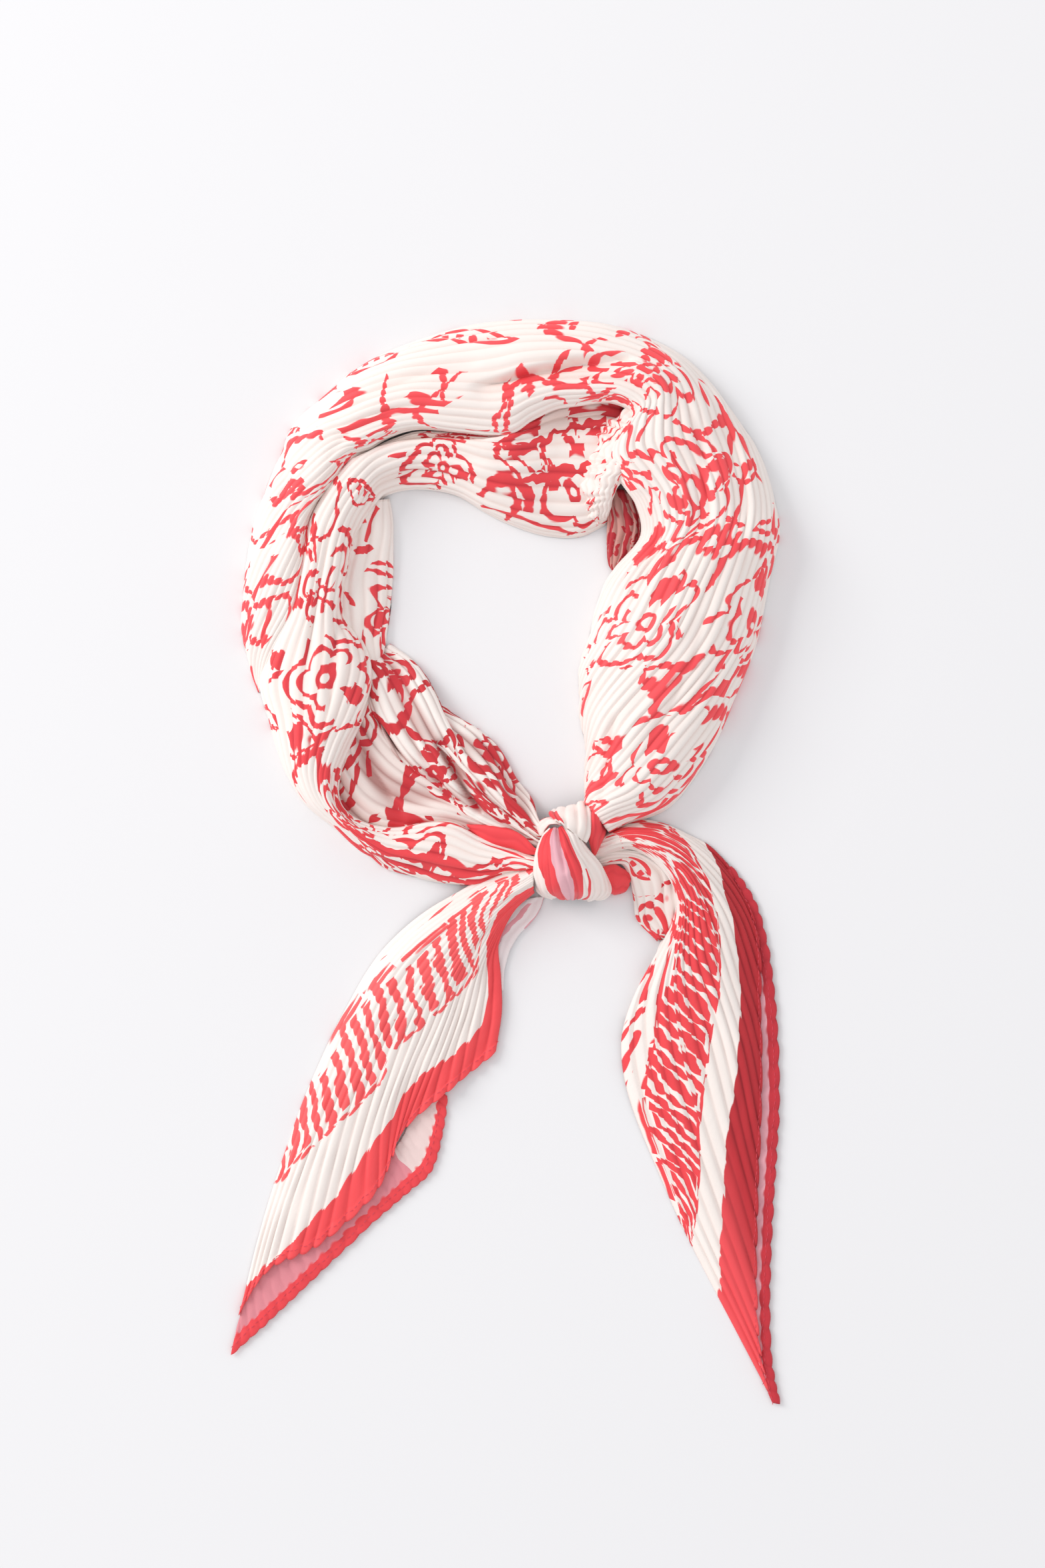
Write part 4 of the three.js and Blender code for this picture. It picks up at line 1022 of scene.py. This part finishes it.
# Each fold of a tail is one long line from the knot to the hem.
tail = {"under": 0, "bundle": 0.25, "undulate": 0.5}
leftTail = {
    **tail, "nodes": ["tail_left", "layers_tail_left"], "pleats": 22, "rows": 150, "seed": 31,
    "scallop": 0.008, "printAt": (0, 3400),
    "look": {
        "border": True, "cell": 60.0, "slant": -19.0, "pitch": 8.5, "strokes": 0.54,
        "red": (1.0, 0.125, 0.13), "redPaintedShade": (0.86, 0.07, 0.08),
        # painted light: the reds here, the border's too, are set lighter than elsewhere
        "paintedLightBorderRed": (1.0, 0.09, 0.10), "paintedShadeBorderRed": (0.80, 0.05, 0.06),
    },
    "folds": [
        [(13, -0.5, 8), (-16, -11, 4), (-55, -40, 0.5), (-85, -94, 0.5), (-106, -152, 0.5), (-120, -206, 1)],
        [(13, -2.5, 12), (-15, -17, 10), (-50, -46, 9), (-75, -95, 6), (-94, -145, 4.5), (-106, -184, 3.4)],
        [(13, -6, 14), (-12, -22, 12), (-40, -51, 10), (-60, -90, 8), (-74, -130, 6), (-84, -173, 3.4)],
        [(13, -9, 13), (-8, -25, 12), (-29, -53, 10), (-43, -82, 8), (-54, -115, 6), (-58, -149, 3.4)],
        [(13, -11.5, 11), (-4, -26, 10), (-19, -50, 9), (-28, -74, 7), (-38, -98, 5), (-46, -122, 3.4)],
        [(13.2, -13, 8), (0, -25, 8), (-10, -46, 7), (-15, -64, 6), (-20, -82, 5), (-25, -103, 3.4)],
        [(13.6, -14, 5), (4, -22, 5), (-2.5, -36, 4), (-1.5, -52, 3), (-1.2, -68, 2.5), (-4, -86, 2)],
    ],
    # from the tip to the knot
    "zones": [
        [(-121, -208), (-107, -186), (-96, -178.4), (-78, -169.5), (-62, -154), (-48.7, -136),
         (-45.5, -120), (-34, -111), (-26, -103.7), (-9, -90.7), (-3, -84), (-1, -74), (-0.5, -64.7),
         (-0.6, -55), (-1.5, -43.5), (-3, -34), (5, -20), (14, -15)],
        [(-111.3, -186.6), (-105.6, -181), (-97.5, -173.5), (-89, -163.8), (-81, -155.7), (-73, -147.5),
         (-65, -136), (-58.5, -124.8), (-50.4, -115), (-45.5, -103.7), (-39, -97), (-26, -89),
         (-16.2, -81), (-9.7, -72), (-7, -60), (-8, -48), (-8, -36), (-3, -22), (5, -15), (14, -10)],
        [(-108, -148), (-98, -139), (-85, -125), (-70, -113), (-56, -100), (-48, -82), (-30, -66),
         (-18, -57), (-12, -49), (-11, -38), (-5, -22), (4, -13)],
        [(-110, -156), (-100, -120), (-88, -97), (-72, -72), (-60, -57), (-45, -44), (-28, -31),
         (-14, -18), (0, -9)],
    ],
}
rightTail = {
    **tail, "nodes": ["tail_right", "layers_tail_right"], "pleats": 20, "rows": 170, "seed": 32,
    "scallop": 0.007, "printAt": (0, 3800),
    "look": {
        "border": True, "cell": 60.0, "slant": 20.0, "pitch": 6.5, "strokes": 0.76,
        # painted shade: the border red is set dark, and painted light brings it back up across part of the
        # folds
        "paintedLightBorderRed": (0.56, 0.028, 0.038), "paintedShadeBorderRed": (0.26, 0.009, 0.018),
        "paintedLighterBorderRed": (0.90, 0.085, 0.098), "tipAt": (0.68, 0.82), "clear": [(0.3, 0.3, 2, 2, -1, 0.13)],
    },
    "folds": [
        [(39.5, 10.5, 4), (56, 18, 3), (70, 17.5, 1), (82, 12.5, 1), (92, 7.5, 1), (101, -1.5, 1.2)],
        [(39.5, 9, 7), (57, 15, 10), (75, 12.5, 8), (92, 1, 6), (105, -15, 4), (113.5, -33, 2.6)],
        [(39, 7.5, 8), (58, 12, 13), (79, 4, 12), (96, -17, 10), (107, -43, 6), (115.3, -72, 2.6)],
        [(39, 6, 8), (59, 10, 14), (82, -6, 14), (93, -38, 11), (105, -78, 7), (115, -120, 2.6)],
        [(38.5, 4.5, 8), (59.5, 8, 14), (80, -13, 14), (83, -54, 10), (97, -105, 6), (113.5, -168, 2.6)],
        [(38, 2.5, 7), (60, 6.3, 12), (79, -19, 12), (70, -65, 8), (83, -130, 5), (114.5, -212, 2.4)],
        [(38, 0.5, 4), (60, 4.2, 7), (77, -20, 6), (52.5, -82, 2), (73.5, -150, 0.6), (120, -241.5, 0.6)],
    ],
    # from the knot to the tip
    "zones": [
        [(92, 9), (101, -1.5), (108.5, -15), (114.5, -33), (116.5, -52), (117.3, -72), (117.7, -96),
         (117.5, -120), (117, -145), (116, -168), (115.8, -190), (116.6, -212), (120, -241.5)],
        [(88, 12), (94.5, 1.5), (97, -5), (98.7, -13.7), (101.2, -20.4), (103, -28.9), (105, -50.8),
         (105.5, -64.3), (104.6, -91), (103, -105), (101, -115), (99.6, -125), (98.4, -138.5),
         (97.9, -162), (96.2, -179), (96.2, -197.6), (99.2, -207.7), (104, -224)],
        [(76, 14), (84, 5), (91, -8), (95, -25), (96.5, -45), (96, -60), (93, -75), (90.5, -92),
         (88, -105), (87, -120), (88, -138), (86, -155), (84.5, -165), (83, -178)],
        [(60, 8), (72, 3), (77, -8), (76, -25), (74, -45), (71, -60), (69, -75), (65, -90), (62, -103),
         (62, -112), (68, -128), (73, -142), (78, -155), (82, -175)],
    ],
}
tails = {"leftUnder": leftUnder, "rightUnder": rightUnder, "leftTail": leftTail, "rightTail": rightTail}
hemPoints = {}
for name, piece in tails.items():
    surface = drapedSurface(piece["folds"]) if "folds" in piece else hemmedSurface(piece["sections"])
    hemPoints[name] = addStretch(name, surface, piece)

stitching = {"pitch": 2.6, "length": 1.9, "width": 0.34}
stitchInset = 4.1  # from the edge of the hem
stitchLift = 0.1


def stitchTree():
    # dashes of thread along a line, laid on the cloth
    tree = bpy.data.node_groups.new("hemStitches", "GeometryNodeTree")
    kinds = {"Geometry": "Geometry", **dict.fromkeys(stitching, "Float"), "Material": "Material"}
    for label, kind in kinds.items():
        socket = tree.interface.new_socket(label, in_out="INPUT", socket_type="NodeSocket" + kind)
        if label in stitching:
            socket.default_value = stitching[label] / 1000
    tree.interface.new_socket("Geometry", in_out="OUTPUT", socket_type="NodeSocketGeometry")
    n = NodeMaker(tree)
    given = {socket.name: Value(tree, socket) for socket in n.add("NodeGroupInput").outputs}
    curve = n.make("GeometryNodeMeshToCurve", 0, {"Mesh": given["Geometry"]})
    spacing = {"Curve": curve, "Length": given["pitch"]}
    spaced = n.make("GeometryNodeResampleCurve", 0, spacing, mode="LENGTH")
    dash = n.make("GeometryNodeMeshUVSphere", "Mesh", {"Segments": 6, "Rings": 4, "Radius": 0.5})
    tangent = n.make("GeometryNodeInputTangent")
    turn = n.make("FunctionNodeAlignRotationToVector", 0, {"Vector": tangent}, axis="Z")
    size = n.combine(given["width"], given["width"], given["length"])
    placed = n.make("GeometryNodeInstanceOnPoints", 0,
                    {"Points": spaced, "Instance": dash, "Rotation": turn, "Scale": size})
    real = n.make("GeometryNodeRealizeInstances", 0, {0: placed})
    painted = n.make("GeometryNodeSetMaterial", 0, {"Geometry": real, "Material": given["Material"]})
    return n.give({"Geometry": painted})


def plainMaterial(name, colour, settings):
    material = bpy.data.materials.new(name)
    shader = principledOf(material)
    shader.inputs["Base Color"].default_value = (*colour, 1)
    for label, value in settings.items():
        shader.inputs[label].default_value = value
    return material


def stitchLine(points):
    # the place on each column that lies the hem's inset from its end
    back = points[::-1]
    steps = np.linalg.norm(np.diff(back, axis=0), axis=-1)
    run = np.concatenate([np.zeros((1, back.shape[1])), steps.cumsum(axis=0)])
    place = lambda j: [np.interp(stitchInset, run[:, j], back[:, j, axis]) for axis in range(3)]
    return np.array([place(j) for j in range(back.shape[1])]) + (0, 0, stitchLift)


def stitchHems():
    tree = stitchTree()
    thread = plainMaterial("redThread", colours["thread"], {"Roughness": 0.45})
    sockets = {item.name: item.identifier for item in tree.interface.items_tree if item.in_out == "INPUT"}
    for name, points in hemPoints.items():
        line = stitchLine(points)
        mesh = bpy.data.meshes.new(name + "Stitches")
        mesh.from_pydata((line / 1000).tolist(), [(i, i + 1) for i in range(len(line) - 1)], [])
        stitches = newObject(name + "Stitches", mesh)
        modifier = stitches.modifiers.new("stitches", "NODES")
        modifier.node_group = tree
        modifier[sockets["Material"]] = thread
        for label, value in stitching.items():
            modifier[sockets[label]] = value / 1000
        applyModifiers(stitches)
        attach(stitches, "root")
        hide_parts(*tails[name]["nodes"])
        print(stitches.name, "faces", len(stitches.data.polygons))


stitchHems()

# The stage is in metres.
studio = {
    "side": 3.0,  # of the surface
    "lightPlace": (-2.5, 1.35, 1.55),
    "lightSize": 1.5,
    "lightPower": 56,
    "lightColour": (1.0, 0.985, 0.97),
    "skyColour": (0.982, 0.982, 1.0),
    "skyStrength": 0.82,
    "cameraHeight": 1.6,
    "viewHeight": 0.7056,
    "viewMiddle": (0.0081, 0.0348),
    "sensor": 36,
}


def buildSurface():
    mesh = bpy.data.meshes.new("surface")
    half = studio["side"] / 2
    corners = [(-half, -half, 0), (half, -half, 0), (half, half, 0), (-half, half, 0)]
    mesh.from_pydata(corners, [], [(0, 1, 2, 3)])
    settings = {"Roughness": 0.8, "Specular IOR Level": 0.1}
    mesh.materials.append(plainMaterial("paperWhite", colours["floor"], settings))
    newObject("surface", mesh)


def buildLight():
    data = bpy.data.lights.new("windowLight", "AREA")
    data.shape = "SQUARE"
    data.size = studio["lightSize"]
    data.energy = studio["lightPower"]
    data.color = studio["lightColour"]
    light = newObject("windowLight", data)
    light.location = studio["lightPlace"]
    light.rotation_euler = (-Vector(studio["lightPlace"])).to_track_quat("-Z", "Y").to_euler()


def buildSky():
    world = bpy.data.worlds.new("studio")
    bpy.context.scene.world = world
    world.use_nodes = True
    background = next(node for node in world.node_tree.nodes if node.type == "BACKGROUND")
    background.inputs[0].default_value = (*studio["skyColour"], 1)
    background.inputs[1].default_value = studio["skyStrength"]


buildSurface()
buildLight()
buildSky()
bpy.context.scene.view_settings.view_transform = "Standard"

cameraData = bpy.data.cameras.new("overhead")
cameraData.sensor_width = studio["sensor"]
cameraData.lens = studio["sensor"] * studio["cameraHeight"] / studio["viewHeight"]
cameraData.clip_end = 10
camera = newObject("overhead", cameraData)
camera.location = (*studio["viewMiddle"], studio["cameraHeight"])
bpy.context.scene.camera = camera
